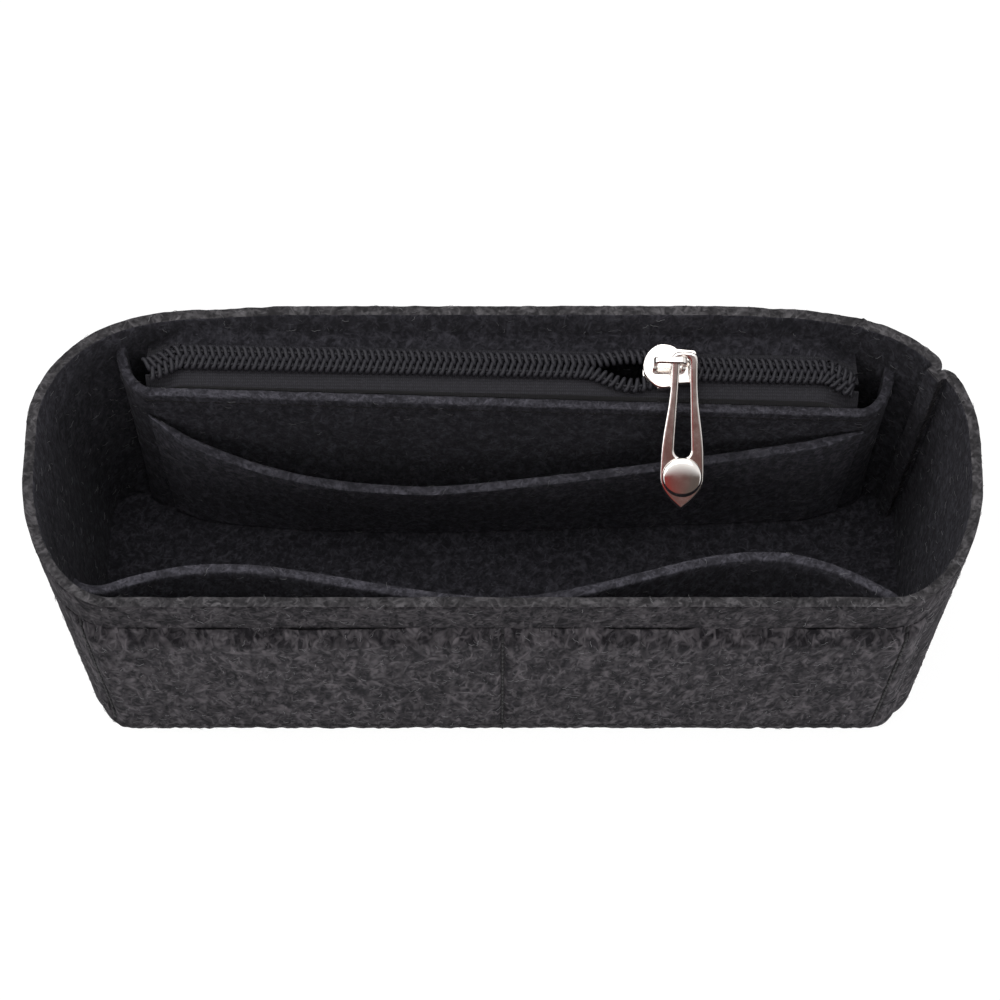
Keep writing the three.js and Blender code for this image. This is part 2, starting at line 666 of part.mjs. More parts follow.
// Bail: an arch along the slider, standing on a foot at the nose and one at the tail.
function bailSolid() {
  const archShape = (from, to, top, round) => {
    const shape = new THREE.Shape();
    shape.moveTo(from, 0);
    shape.lineTo(to, 0);
    shape.lineTo(to, top - round);
    shape.quadraticCurveTo(to, top, to - round, top);
    shape.lineTo(from + round, top);
    shape.quadraticCurveTo(from, top, from, top - round);
    return shape;
  };
  const upright = (shape, sink, width) => {
    const settings = { depth: width, bevelEnabled: false, curveSegments: PLAN_STEPS };
    const geometry = new THREE.ExtrudeGeometry(shape, settings);
    geometry.translate(0, 0, -width / 2);
    geometry.rotateX(Math.PI / 2);
    return solidOf(geometry.translate(0, 0, plateTop - sink));
  };
  const sink = SLIDER_PLATE / 2;
  const whole = archShape(BAIL_NOSE_FOOT, BAIL_TAIL_FOOT, BAIL_ROOM + BAIL_BAND + sink, BAIL_ROUND);
  const tunnel = archShape(
    BAIL_NOSE_FOOT + BAIL_BAND,
    BAIL_TAIL_FOOT - BAIL_BAND,
    BAIL_ROOM + sink,
    BAIL_ROUND - BAIL_BAND / 2,
  );
  return upright(whole, sink, BAIL_WIDTH).subtract(upright(tunnel, sink, BAIL_WIDTH * 2));
}

function sliderBody() {
  const plan = sliderPlan();
  const plate = raised(plan, plateUnder, plateTop);
  const sole = raised(plan, soleTop - SLIDER_PLATE, soleTop);
  const railFoot = TAPE / 2 + RUNNING_GAP;
  const overlap = SLIDER_PLATE / 2;
  const rails = raised(plan, railFoot, plateUnder + overlap)
    .subtract(raised(channelPlan(), railFoot - overlap, plateUnder));
  const post = raised(postPlan(), soleTop - overlap, plateUnder + overlap);
  return geometryOf(plate.add(sole).add(rails).add(post).add(bailSolid()));
}

// Pull plan, along V from its eye behind the bail to its pointed tip in front.
const eyeEnd = BAIL_WIDTH / 2 + RUNNING_GAP + PULL_LEG;
const pullTip = eyeEnd - PULL_LENGTH;
const rivetPlace = pullTip + PULL_RIVET_FROM_TIP;

function pullPlan() {
  const eyeRoot = eyeEnd - 2 * PULL_LEG;
  const eyeTurn = eyeEnd - PULL_EYE_ROUND;
  const waist = rivetPlace / 2;
  const tipSide = rivetPlace - PULL_HALF_WIDTH * PULL_TIP_FULLNESS;
  const shape = new THREE.Shape();
  shape.moveTo(0, eyeEnd);
  shape.bezierCurveTo(-PULL_EYE_HALF, eyeEnd, -PULL_EYE_HALF, eyeTurn, -PULL_EYE_HALF, eyeRoot);
  shape.bezierCurveTo(-PULL_EYE_HALF, waist, -PULL_HALF_WIDTH, waist, -PULL_HALF_WIDTH, rivetPlace);
  shape.quadraticCurveTo(-PULL_HALF_WIDTH, tipSide, 0, pullTip);
  shape.quadraticCurveTo(PULL_HALF_WIDTH, tipSide, PULL_HALF_WIDTH, rivetPlace);
  shape.bezierCurveTo(PULL_HALF_WIDTH, waist, PULL_EYE_HALF, waist, PULL_EYE_HALF, eyeRoot);
  shape.bezierCurveTo(PULL_EYE_HALF, eyeTurn, PULL_EYE_HALF, eyeEnd, 0, eyeEnd);
  const slotEnd = eyeEnd - PULL_LEG;
  const slotLow = rivetPlace + RIVET_RADIUS;
  const slot = new THREE.Path();
  slot.moveTo(0, slotEnd);
  slot.quadraticCurveTo(PULL_SLOT_TOP_HALF, slotEnd, PULL_SLOT_TOP_HALF, slotEnd - PULL_SLOT_TOP_HALF);
  slot.lineTo(PULL_SLOT_LOW_HALF, slotLow + PULL_SLOT_LOW_HALF);
  slot.quadraticCurveTo(PULL_SLOT_LOW_HALF, slotLow, 0, slotLow);
  slot.quadraticCurveTo(-PULL_SLOT_LOW_HALF, slotLow, -PULL_SLOT_LOW_HALF, slotLow + PULL_SLOT_LOW_HALF);
  slot.lineTo(-PULL_SLOT_TOP_HALF, slotEnd - PULL_SLOT_TOP_HALF);
  slot.quadraticCurveTo(-PULL_SLOT_TOP_HALF, slotEnd, 0, slotEnd);
  const bore = new THREE.Path();
  bore.absarc(0, rivetPlace, RIVET_SHANK + RUNNING_GAP, 0, Math.PI * 2, true);
  shape.holes.push(slot, bore);
  return shape;
}

function pullTab() {
  const geometry = new THREE.ExtrudeGeometry(pullPlan(), {
    depth: PULL_THICK - 2 * PULL_EDGE,
    bevelEnabled: true,
    bevelThickness: PULL_EDGE,
    bevelSize: PULL_EDGE,
    bevelOffset: -PULL_EDGE,
    bevelSegments: 1,
    curveSegments: PLAN_STEPS,
  });
  geometry.translate(0, 0, PULL_EDGE - PULL_THICK / 2);
  return facingOut(plainMesh(geometry));
}

// Rivet: a domed head over the pull, a shank through it and a small clenched tail under it.
function pullRivet() {
  const seat = PULL_THICK / 2 + RUNNING_GAP;
  const profile = [
    new THREE.Vector2(0, -seat - RIVET_TAIL),
    new THREE.Vector2(RIVET_TAIL_RADIUS - RIVET_RIM, -seat - RIVET_TAIL),
    new THREE.Vector2(RIVET_TAIL_RADIUS, -seat),
    new THREE.Vector2(RIVET_SHANK, -seat),
    new THREE.Vector2(RIVET_SHANK, seat),
    new THREE.Vector2(RIVET_RADIUS, seat),
    new THREE.Vector2(RIVET_RADIUS, seat + RIVET_RIM),
  ];
  for (let step = 1; step <= DOME_STEPS; step += 1) {
    const angle = step / DOME_STEPS * Math.PI / 2;
    const radius = step === DOME_STEPS ? 0 : RIVET_RADIUS * Math.cos(angle);
    const rise = RIVET_RIM + (RIVET_DOME - RIVET_RIM) * Math.sin(angle);
    profile.push(new THREE.Vector2(radius, seat + rise));
  }
  const geometry = new THREE.LatheGeometry(profile, RIVET_SIDES);
  geometry.rotateX(Math.PI / 2);
  geometry.translate(0, rivetPlace, 0);
  return facingOut(plainMesh(geometry));
}

const organizer = new THREE.Group();
organizer.add(
  meshOf('wall_wrap', wallWrap(), felt('wall felt')),
  meshOf('base_panel', basePanel(), felt('base felt')),
  meshOf('front_outer_pocket', frontOuterPocket(), felt('outer pocket felt')),
  meshOf('front_inner_pocket', frontInnerPocket(), felt('inner pocket felt')),
  meshOf('zip_pocket_panel', zipPocketPanel(), felt('zip pocket felt')),
  meshOf('slip_pocket_panel', slipPocketPanel(), felt('slip pocket felt')),
  meshOf('zip_tape_back', zipTape(1), tapeCloth('back tape')),
  meshOf('zip_tape_front', zipTape(-1), tapeCloth('front tape')),
);

// Chain, slider and pull share the turned and tilted frame of the zip.
const chain = new THREE.Group();
chain.position.set(0, zipY(0), zipLevel(0));
chain.rotation.set(ZIP_TILT, zipPitch, zipYaw, 'ZYX');
chain.add(
  meshOf('zip_coil_back', coilRow(1), nylon('back coil')),
  meshOf('zip_coil_front', coilRow(-1), nylon('front coil')),
);
organizer.add(chain);

const slider = new THREE.Group();
slider.name = 'slider';
slider.position.set(SLIDER_REST, 0, 0);
slider.add(meshOf('slider_body', sliderBody(), nickel('slider metal')));
chain.add(slider);

const pull = new THREE.Group();
pull.name = 'pull';
pull.position.set(BAIL_TAIL_FOOT - BAIL_BAND / 2, 0, plateTop + PULL_AXIS_RISE);
pull.rotation.x = PULL_FELL;
pull.add(
  meshOf('pull_tab', pullTab(), nickel('pull metal')),
  meshOf('pull_rivet', pullRivet(), nickel('rivet metal')),
);
slider.add(pull);

export default organizer;
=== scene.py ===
"""Looks of a felt purse organizer insert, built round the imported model, in metres in the model's frame."""

import math
from contextlib import contextmanager

import bmesh
import bpy
import numpy as np
from mathutils import Matrix, Vector, noise


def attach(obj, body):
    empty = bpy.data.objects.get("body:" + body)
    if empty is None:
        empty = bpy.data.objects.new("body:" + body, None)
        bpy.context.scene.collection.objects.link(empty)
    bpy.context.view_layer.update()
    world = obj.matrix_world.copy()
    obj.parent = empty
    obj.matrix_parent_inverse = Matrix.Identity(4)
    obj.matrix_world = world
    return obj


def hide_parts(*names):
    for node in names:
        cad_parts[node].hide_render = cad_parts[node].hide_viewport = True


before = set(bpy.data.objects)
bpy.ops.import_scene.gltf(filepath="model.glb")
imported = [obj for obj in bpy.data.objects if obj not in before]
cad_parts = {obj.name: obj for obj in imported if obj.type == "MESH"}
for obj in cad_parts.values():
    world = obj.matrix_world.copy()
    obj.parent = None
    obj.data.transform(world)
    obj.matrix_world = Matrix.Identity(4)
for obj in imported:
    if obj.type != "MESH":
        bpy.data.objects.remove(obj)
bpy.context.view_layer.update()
scene = bpy.context.scene

MM = 0.001

# Felt and sewing
WALL_FELT = 2.6 * MM
POCKET_FELT = 2.3 * MM
BASE_FELT = 3 * MM
SEWN_GAP = 0.3 * MM
CUT_ROUND = 0.45 * MM

# Tub at its rim, and how far its walls flare up from the foot
HEIGHT = 90 * MM
RIM_HALF_LENGTH = 108.5 * MM
RIM_HALF_DEPTH = 38 * MM
RIM_LEFT_BACK_CORNER = (38 * MM, 31 * MM)
RIM_RIGHT_BACK_CORNER = (42 * MM, 33 * MM)
RIM_FRONT_CORNER = (22 * MM, 34 * MM)
END_FLARE = 6 * MM
FRONT_FLARE = 8 * MM
BACK_FLARE = 5 * MM
FOOT_CORNER = 10 * MM

# Seam that closes the wrapped wall
SEAM_PLACE = 0.355
SEAM_ROLL = 3.2 * MM
SEAM_ALLOWANCE = 1.5 * MM

# Pocket on the outside of the front wall
OUTER_TOP = HEIGHT - 15 * MM
OUTER_LEFT = -RIM_HALF_LENGTH + 9.5 * MM
OUTER_RIGHT = RIM_HALF_LENGTH - 11 * MM
OUTER_CORNER = 8 * MM
OUTER_BULGE = 0.5 * MM

# Pair of pockets on the inside of the front wall
INNER_TOP = HEIGHT - 8 * MM
INNER_LEFT = -RIM_HALF_LENGTH + 12 * MM
INNER_RIGHT = RIM_HALF_LENGTH - 19.5 * MM
INNER_LEFT_BULGE = 8.2 * MM
INNER_RIGHT_BULGE = 11.2 * MM
INNER_FOOT_SHARE = 0.3
INNER_SKEW = 1.63

# Zipped pocket on the back wall; each drop is at the left end, each fall is from there to the right end
ZIP_DROP = 7.8 * MM
ZIP_FALL = 3.6 * MM
ZIP_TILT = math.radians(10)
ZIP_DRIFT = 2.6 * MM
PANEL_DROP = 9.2 * MM
PANEL_FALL = 6.2 * MM
PANEL_LEFT = -RIM_HALF_LENGTH + 20.5 * MM
PANEL_RIGHT = RIM_HALF_LENGTH - 18.5 * MM
PANEL_CORNER = 4 * MM
PANEL_FOOT_SHARE = 0.15

# Slip pocket in front of it
SLIP_DROP = 20.5 * MM
SLIP_FALL = 4.5 * MM
SLIP_DIP = 17.8 * MM
SLIP_BULGE = 10.4 * MM
SLIP_FOOT_SHARE = 0.35
SLIP_LOW_POINT = -18 * MM
SLIP_SETBACK = 0.5 * MM
SLIP_LEFT_FULLNESS = 2.45
SLIP_RIGHT_FULLNESS = 1.25

# Zip chain and tape
COIL_PITCH = 1.55 * MM
COIL_HALF_WIDTH = 3 * MM
COIL_HEIGHT = 1.7 * MM
COIL_WIRE = 0.49 * MM
CHAIN_HALF = RIM_HALF_LENGTH - 25.5 * MM
CHAIN_END_BEND = 3.3 * MM
CHAIN_END_RUN = 8.5 * MM
TAPE = 0.6 * MM
TAPE_SLOT = 0.95 * MM
TAPE_FLANGE = 5 * MM

# Slider
SLIDER_REST = 38.8 * MM
SLIDER_LENGTH = 12.4 * MM
SLIDER_SHOULDER = 1.8 * MM
SLIDER_NOSE_FULLNESS = 0.55
SLIDER_TAIL_ROUND = 1 * MM
SLIDER_PLATE = 1 * MM
SLIDER_EDGE = 0.32 * MM
RAIL = 0.75 * MM
ROW_SPREAD = 1.35 * MM
ROW_SAG = 1.8 * MM
ROW_SAG_RUN = 2 * MM
ROW_OPEN_RUN = 2.5 * MM
ROW_CLOSE_RUN = 14 * MM
POST_LENGTH = 3.2 * MM
POST_WIDTH = 1 * MM
RUNNING_GAP = 0.3 * MM
SIDE_ROOM = 0.7 * MM
BAIL_WIDTH = 1.6 * MM
BAIL_BAND = 1.1 * MM
BAIL_ROOM = 3.7 * MM
BAIL_NOSE_FOOT = -4 * MM
BAIL_TAIL_FOOT = 3.8 * MM
BAIL_ROUND = 1.4 * MM

# Pull
PULL_LENGTH = 36.7 * MM
PULL_FELL = math.radians(18)
PULL_THICK = 1.4 * MM
PULL_EDGE = 0.64 * MM
PULL_EYE_HALF = 3.1 * MM
PULL_HALF_WIDTH = 5.15 * MM
PULL_TIP_FULLNESS = 0.7
PULL_EYE_ROUND = 1 * MM
PULL_LEG = 1.5 * MM
PULL_SLOT_TOP_HALF = 1.05 * MM
PULL_SLOT_LOW_HALF = 1.9 * MM
PULL_RIVET_FROM_TIP = 7.6 * MM
PULL_AXIS_RISE = 2.48 * MM
RIVET_RADIUS = 4.6 * MM
RIVET_DOME = 1.7 * MM
RIVET_RIM = 0.3 * MM
RIVET_SHANK = 1.5 * MM
RIVET_TAIL_RADIUS = 2.4 * MM
RIVET_TAIL = 0.6 * MM

# Sewing: thread, and how far it draws one felt into another
STITCH_SPACING = 3.1 * MM
STITCH_LENGTH = 2.6 * MM
THREAD_RADIUS = 0.2 * MM
SEAM_THREAD_RADIUS = 0.34 * MM
SEAM_DRAWN = 0.9 * MM
FELT_TUCK = 0.5 * MM

# Lengths that follow from those
FLOOR_TOP = BASE_FELT + SEWN_GAP
slider_half_width = COIL_HALF_WIDTH + ROW_SPREAD + RUNNING_GAP + RAIL
panel_reach = slider_half_width + TAPE + SIDE_ROOM
plate_under = TAPE / 2 + RUNNING_GAP + COIL_HEIGHT + RUNNING_GAP
plate_top = plate_under + SLIDER_PLATE
sole_top = -TAPE / 2 - RUNNING_GAP
tail_half_width = COIL_HALF_WIDTH + RUNNING_GAP + RAIL

# Camera, at the photograph's angle
VIEW_ELEVATION = math.radians(65)
VIEW_DISTANCE = 0.7
VIEW_TARGET = Vector((-0.6 * MM, 0, 64.5 * MM))
FOCAL_SHARE = 2.99
SENSOR_WIDTH = 36
CLIP_START = 0.01


def add_object(name, data):
    """Object of a mesh, curve, camera or light, in the scene."""
    made = bpy.data.objects.new(name, data)
    scene.collection.objects.link(made)
    return made


def aim(thing, way):
    """Turns a camera or a light to look one way."""
    thing.rotation_euler = way.to_track_quat("-Z", "Y").to_euler()


camera_data = bpy.data.cameras.new("camera")
camera_data.sensor_width = SENSOR_WIDTH
camera_data.lens = SENSOR_WIDTH * FOCAL_SHARE
camera_data.clip_start = CLIP_START
camera = add_object("camera", camera_data)
to_camera = Vector((0, -math.cos(VIEW_ELEVATION), math.sin(VIEW_ELEVATION)))
camera.location = VIEW_TARGET + to_camera * VIEW_DISTANCE
aim(camera, -to_camera)
scene.camera = camera


# Shapes shared with the solids
def lerp(start, end, share):
    return start + (end - start) * share


def ease(value, start, end):
    share = np.clip((value - start) / (end - start), 0, 1)
    return share * share * (3 - 2 * share)


def unit(vectors):
    return vectors / np.linalg.norm(vectors, axis=-1, keepdims=True)


def tub_at(z, inset):
    """Plan of the tub at one height, set in by a felt thickness."""
    rise = z / HEIGHT
    drop = 1 - rise

    def corner(rim_radii):
        return [lerp(FOOT_CORNER, radius, rise) - inset for radius in rim_radii]

    return {
        "half_length": RIM_HALF_LENGTH - END_FLARE * drop - inset,
        "back": RIM_HALF_DEPTH - BACK_FLARE * drop - inset,
        "front": -RIM_HALF_DEPTH + FRONT_FLARE * drop + inset,
        "left_back_corner": corner(RIM_LEFT_BACK_CORNER),
        "right_back_corner": corner(RIM_RIGHT_BACK_CORNER),
        "front_corner": corner(RIM_FRONT_CORNER),
    }


def tub_corner(tub, quarter, share):
    """Point and outward normal on one corner; the quarters run from the right rear round by the back."""
    at_back = quarter < 2
    side = 1 if quarter in (0, 3) else -1
    back_corner = tub["right_back_corner"] if side > 0 else tub["left_back_corner"]
    radius_x, radius_y = back_corner if at_back else tub["front_corner"]
    angle = (quarter + share) * math.pi / 2
    centre_x = side * (tub["half_length"] - radius_x)
    centre_y = tub["back"] - radius_y if at_back else tub["front"] + radius_y
    turn = (math.cos(angle), math.sin(angle))
    point = Vector((centre_x + radius_x * turn[0], centre_y + radius_y * turn[1]))
    normal = Vector((turn[0] / radius_x, turn[1] / radius_y)).normalized()
    return point, normal


TUB_PLACES = 8


def tub_point(tub, place):
    """Point and outward normal on the plan; whole numbers are the ends of its corners and sides."""
    turn = place % TUB_PLACES
    index = int(turn)
    share = turn - index
    if index % 2 == 0:
        return tub_corner(tub, index // 2, share)
    start, normal = tub_corner(tub, (index - 1) // 2, 1)
    end, _ = tub_corner(tub, ((index + 1) // 2) % 4, 0)
    return start.lerp(end, share), normal


SEAM_HALVINGS = 40


def seam_roll(z, side):
    """Roll where one end of the wall turns in, drawn just past the seam; side is 1 or -1 along the wall."""
    tub = tub_at(z, 0)
    seam, seam_normal = tub_point(tub, SEAM_PLACE)
    along = Vector((-seam_normal.y, seam_normal.x)) * side
    near = SEAM_PLACE
    far = SEAM_PLACE + side
    for _ in range(SEAM_HALVINGS):
        middle = (near + far) / 2
        start, normal = tub_point(tub, middle)
        reach = (start - normal * SEAM_ROLL - seam).dot(along)
        if reach < SEAM_ROLL - SEAM_DRAWN / 2:
            near = middle
        else:
            far = middle
    start, normal = tub_point(tub, far)
    return {
        "place": far,
        "normal": normal,
        "centre": start - normal * SEAM_ROLL,
        "along": along,
        "inward": -seam_normal,
    }


ROLL_STEPS = 9
ALLOWANCE_STEPS = 4


def seam_end(roll, inset, allowance):
    """Rolled end of the wall, from the tip of the seam allowance out to the wall's own face."""
    radius = SEAM_ROLL - inset
    touch = roll["centre"] - roll["along"] * radius
    points = []
    for step in range(ALLOWANCE_STEPS):
        points.append(touch + roll["inward"] * allowance * (1 - step / ALLOWANCE_STEPS))
    points.append(touch)
    for step in range(1, ROLL_STEPS):
        spoke = (-roll["along"]).lerp(roll["normal"], step / ROLL_STEPS).normalized()
        points.append(roll["centre"] + spoke * radius)
    return points


CORNER_STEPS = 44
LONG_STEPS = 150
END_STEPS = 24


def wall_line(z, inset, allowance):
    """Line of the wall at one height, from one seam allowance round the tub to the other."""
    tub = tub_at(z, inset)
    first = seam_roll(z, 1)
    last = seam_roll(z, -1)
    stops = [first["place"], *range(1, TUB_PLACES), TUB_PLACES + last["place"]]
    counts = [CORNER_STEPS, LONG_STEPS, CORNER_STEPS, END_STEPS] * 2
    points = seam_end(first, inset, allowance)
    for index in range(len(stops) - 1):
        for step in range(counts[index]):
            points.append(tub_point(tub, lerp(stops[index], stops[index + 1], step / counts[index]))[0])
    points.append(tub_point(tub, stops[-1])[0])
    return points + seam_end(last, inset, allowance)[::-1]


def wall_face(x, z, inset, at_back):
    """Y of a long wall's face over a point of X, on the back or on the front."""
    tub = tub_at(z, inset)
    left_x, left_y = tub["left_back_corner"] if at_back else tub["front_corner"]
    right_x, right_y = tub["right_back_corner"] if at_back else tub["front_corner"]
    radius_x = np.where(x > 0, right_x, left_x)
    radius_y = np.where(x > 0, right_y, left_y)
    past = np.maximum(0, np.abs(x) - (tub["half_length"] - radius_x)) / radius_x
    step = radius_y * (1 - np.sqrt(np.maximum(0, 1 - past * past)))
    return tub["back"] - step if at_back else tub["front"] + step


def zip_level(x):
    """Height of the middle of the zip's tape."""
    return HEIGHT - ZIP_DROP - ZIP_FALL * (x + CHAIN_HALF) / (2 * CHAIN_HALF)


def zip_y(x):
    """Y of the zip's middle line at the height of its tape."""
    return zip_left_y - ZIP_DRIFT * (x + CHAIN_HALF) / (2 * CHAIN_HALF)


def panel_top(x):
    return HEIGHT - PANEL_DROP - PANEL_FALL * (x - PANEL_LEFT) / (PANEL_RIGHT - PANEL_LEFT)


zip_left_y = float(wall_face(0, zip_level(-CHAIN_HALF), WALL_FELT, True)) - panel_reach
zip_yaw = math.atan2(-ZIP_DRIFT, 2 * CHAIN_HALF)
zip_pitch = math.atan2(ZIP_FALL, math.hypot(ZIP_DRIFT, 2 * CHAIN_HALF))
chain_place = (
    Matrix.Translation((0, zip_y(0), zip_level(0)))
    @ Matrix.Rotation(zip_yaw, 4, "Z")
    @ Matrix.Rotation(zip_pitch, 4, "Y")
    @ Matrix.Rotation(ZIP_TILT, 4, "X")
)
slider_place = chain_place @ Matrix.Translation((SLIDER_REST, 0, 0))
pull_pivot = Vector((BAIL_TAIL_FOOT - BAIL_BAND / 2, 0, plate_top + PULL_AXIS_RISE))
pull_place = slider_place @ Matrix.Translation(pull_pivot) @ Matrix.Rotation(PULL_FELL, 4, "X")


def panel_back(x, z, share=1):
    """Back face of the zipped pocket's panel, leaning from the base seam out to the zip."""
    lean = lerp(PANEL_FOOT_SHARE, 1, (z - FLOOR_TOP) / (panel_top(x) - FLOOR_TOP))
    depth = wall_face(x, panel_top(x), WALL_FELT, True) - SEWN_GAP - (zip_y(x) - panel_reach)
    return wall_face(x, z, WALL_FELT, True) - SEWN_GAP - share * lean * depth


SLOPE_STEP = 0.05 * MM


def felt_depth(face_y, x, z):
    """Depth in Y of felt that lies on a face, more where the face turns away from Y."""
    slope = (face_y(x + SLOPE_STEP, z) - face_y(x - SLOPE_STEP, z)) / (2 * SLOPE_STEP)
    return POCKET_FELT * np.hypot(1, slope)


def panel_front(x, z):
    return panel_back(x, z) - felt_depth(panel_back, x, z)


# Mesh making
def mesh_data(name, points, faces, edges=()):
    mesh = bpy.data.meshes.new(name)
    mesh.from_pydata([tuple(point) for point in points], list(edges), faces)
    return mesh


def mesh_object(name, points=(), faces=()):
    return add_object(name, mesh_data(name, points, faces))


@contextmanager
def edited(data):
    """A mesh opened for editing, and written back afterwards."""
    mesh = bmesh.new()
    mesh.from_mesh(data)
    yield mesh
    mesh.to_mesh(data)
    mesh.free()


def face_outward(mesh):
    bmesh.ops.recalc_face_normals(mesh, faces=mesh.faces)


def quads(*grids):
    """Quads of grids of point numbers, the same cell of each grid in turn."""
    cells = [np.stack([grid[:-1, :-1], grid[1:, :-1], grid[1:, 1:], grid[:-1, 1:]], -1) for grid in grids]
    return np.stack(cells, axis=2).reshape(-1, 4).tolist()


def closed_sheet(name, near, far):
    """Closed mesh between two faces, each an array of columns by rows of points."""
    columns, rows = near.shape[:2]
    number = np.arange(2 * columns * rows).reshape(2, columns, rows)
    faces = quads(number[0], number[1])
    faces += quads(number[:, :, 0].T, number[:, :, -1].T)
    faces += quads(number[:, 0].T, number[:, -1].T)
    return mesh_object(name, np.concatenate([near, far]).reshape(-1, 3), faces)


SHARP_ANGLE = math.radians(50)
FELT_WAVE = 4.5 * MM
FELT_WAVE_HEIGHT = 0.11 * MM


def soften(felt, cut_round):
    """Rounds the cut edges, gives the faces a slight unevenness and shades them smooth."""
    with edited(felt.data) as mesh:
        face_outward(mesh)
        sharp = [edge for edge in mesh.edges if edge.calc_face_angle(0) > SHARP_ANGLE]
        bmesh.ops.bevel(mesh, geom=sharp, offset=cut_round, segments=2, profile=0.5, affect="EDGES")
        mesh.normal_update()
        for vertex in mesh.verts:
            vertex.co += vertex.normal * noise.noise(vertex.co / FELT_WAVE) * FELT_WAVE_HEIGHT
    felt.data.shade_smooth()
    return felt


def pocket(stations, rows, bottom, top, face_y, side):
    """Pocket sheet whose near face is face_y(x, z); the felt thickens it in Y towards side 1 or -1."""
    x = np.asarray(stations)[:, None] * np.ones((1, rows))
    rise = np.linspace(0, 1, rows)[None, :]
    z = lerp(bottom(x), top(x), rise)
    near_y = face_y(x, z)
    far_y = near_y + side * felt_depth(face_y, x, z)
    near = np.stack([x, near_y, z], axis=-1)
    far = np.stack([x, far_y, z], axis=-1)
    return near, far


def level_edge(z):
    """Edge of a pocket that runs at one height."""
    return lambda x: z + 0 * x


def turned_stations(left, right, turn, turn_steps, run_steps):
    """Stations of X along a piece, close together in the turn at each end, and the sine of their turn."""
    angle = np.linspace(0, math.pi / 2, turn_steps + 1)[:-1]
    ends = turn * (1 - np.cos(angle))
    run = np.linspace(left + turn, right - turn, run_steps + 1)
    x = np.concatenate([left + ends, run, (right - ends)[::-1]])
    sine = np.concatenate([np.sin(angle), np.ones(len(run)), np.sin(angle)[::-1]])
    return x, sine


# Felt pieces
WALL_ROWS = 46
RIM_WAVE = 7 * MM
RIM_WAVE_HEIGHT = 0.3 * MM
RIM_TUFT = 1.7 * MM
RIM_TUFT_HEIGHT = 0.25 * MM
RIM_DROOP = 2 * MM
RIM_DROOP_FROM = 48 * MM
RIM_DROOP_FULL = 74 * MM
RIM_DROOP_END = 98 * MM
RIM_DROOP_POWER = 4


def rim_droop(x, y):
    """Sag of the back rim beside each corner."""
    from_middle = np.abs(x)
    sag = ease(from_middle, RIM_DROOP_FROM, RIM_DROOP_FULL)
    sag *= ease(from_middle, RIM_DROOP_END, RIM_DROOP_FULL)
    return RIM_DROOP * sag * (y > 0)


def wall_felt():
    levels = np.linspace(0, HEIGHT, WALL_ROWS)
    faces = []
    for inset in (0, WALL_FELT):
        lines = [wall_line(z, inset, SEAM_ALLOWANCE) for z in levels]
        faces.append(np.array([[(p.x, p.y, z) for p in line] for line, z in zip(lines, levels)]))
    outer, inner = (face.transpose(1, 0, 2) for face in faces)
    for face in (outer, inner):
        x, y, z = np.moveaxis(face, -1, 0)
        z -= rim_droop(x, y) * (z / HEIGHT) ** RIM_DROOP_POWER
        for point in face[:, -1]:
            wave = RIM_WAVE_HEIGHT * noise.noise(Vector(point) / RIM_WAVE)
            tuft = RIM_TUFT_HEIGHT * noise.noise(Vector(point) / RIM_TUFT)
            point[2] += wave + tuft - RIM_WAVE_HEIGHT / 2
    return soften(closed_sheet("wall_felt", outer, inner), CUT_ROUND)


BASE_RISE = 0.2 * MM


def base_felt():
    outline = wall_line(0, WALL_FELT - FELT_TUCK, SEAM_ALLOWANCE - FELT_TUCK)
    made = mesh_object("base_felt")
    with edited(made.data) as mesh:
        bottom = mesh.faces.new([mesh.verts.new((point.x, point.y, BASE_RISE)) for point in outline])
        raised = bmesh.ops.extrude_face_region(mesh, geom=[bottom])["geom"]
        for item in raised:
            if isinstance(item, bmesh.types.BMVert):
                item.co.z = BASE_FELT
        bmesh.ops.triangulate(mesh, faces=[face for face in mesh.faces if len(face.verts) > 4])
        face_outward(mesh)
    return made


SEAM_DENT = 1.0 * MM
SIDE_DENT = 0.8 * MM
SEAM_DENT_WIDTH = 0.75 * MM
SEAM_DENT_START = 5 * MM
SEAM_LIFT = 0.22 * MM
OUTER_PRESSED_RUN = 6 * MM
OUTER_PRESSED_SHARE = 0.13
OUTER_CUT_ROUND = 0.1 * MM
OUTER_EDGE_WAVE = 9 * MM
OUTER_EDGE_SINK = 1.8 * MM
OUTER_TUFT_HEIGHT = 0.3 * MM
OUTER_TUFT_RUN = 3 * MM
OUTER_LEFT_SEAM = OUTER_LEFT + 3.5 * MM
OUTER_RIGHT_SEAM = OUTER_RIGHT - 5.9 * MM
OUTER_SINK_ROW = 0.5
OUTER_TUFT_ROW = 3.5
OUTER_TURN_STEPS = 27
OUTER_RUN_STEPS = 420
OUTER_ROWS = 44


def outer_pocket_face(x, z):
    share = np.where(x < 0, x / OUTER_LEFT, x / OUTER_RIGHT)
    fullness = np.sin(np.pi * np.clip(share, 0, 1)) ** 2
    return wall_face(x, z, 0, False) - SEWN_GAP - OUTER_BULGE * fullness * z / OUTER_TOP


def seam_dent(x, z):
    """How far the thread draws in the outside pocket, along its middle and its two side seams."""
    dent = 0 * x
    for seam, depth in ((0, SEAM_DENT), (OUTER_LEFT_SEAM, SIDE_DENT), (OUTER_RIGHT_SEAM, SIDE_DENT)):
        dent = dent + depth * np.exp(-(((x - seam) / SEAM_DENT_WIDTH) ** 2))
    return dent * ease(z, 0, SEAM_DENT_START)


def outer_pocket_foot(x):
    """Lower edge of the outside pocket, with its rounded corners."""
    from_end = np.minimum(np.minimum(x - OUTER_LEFT, OUTER_RIGHT - x), OUTER_CORNER)
    return OUTER_CORNER - np.sqrt(np.maximum(0, from_end * (2 * OUTER_CORNER - from_end)))


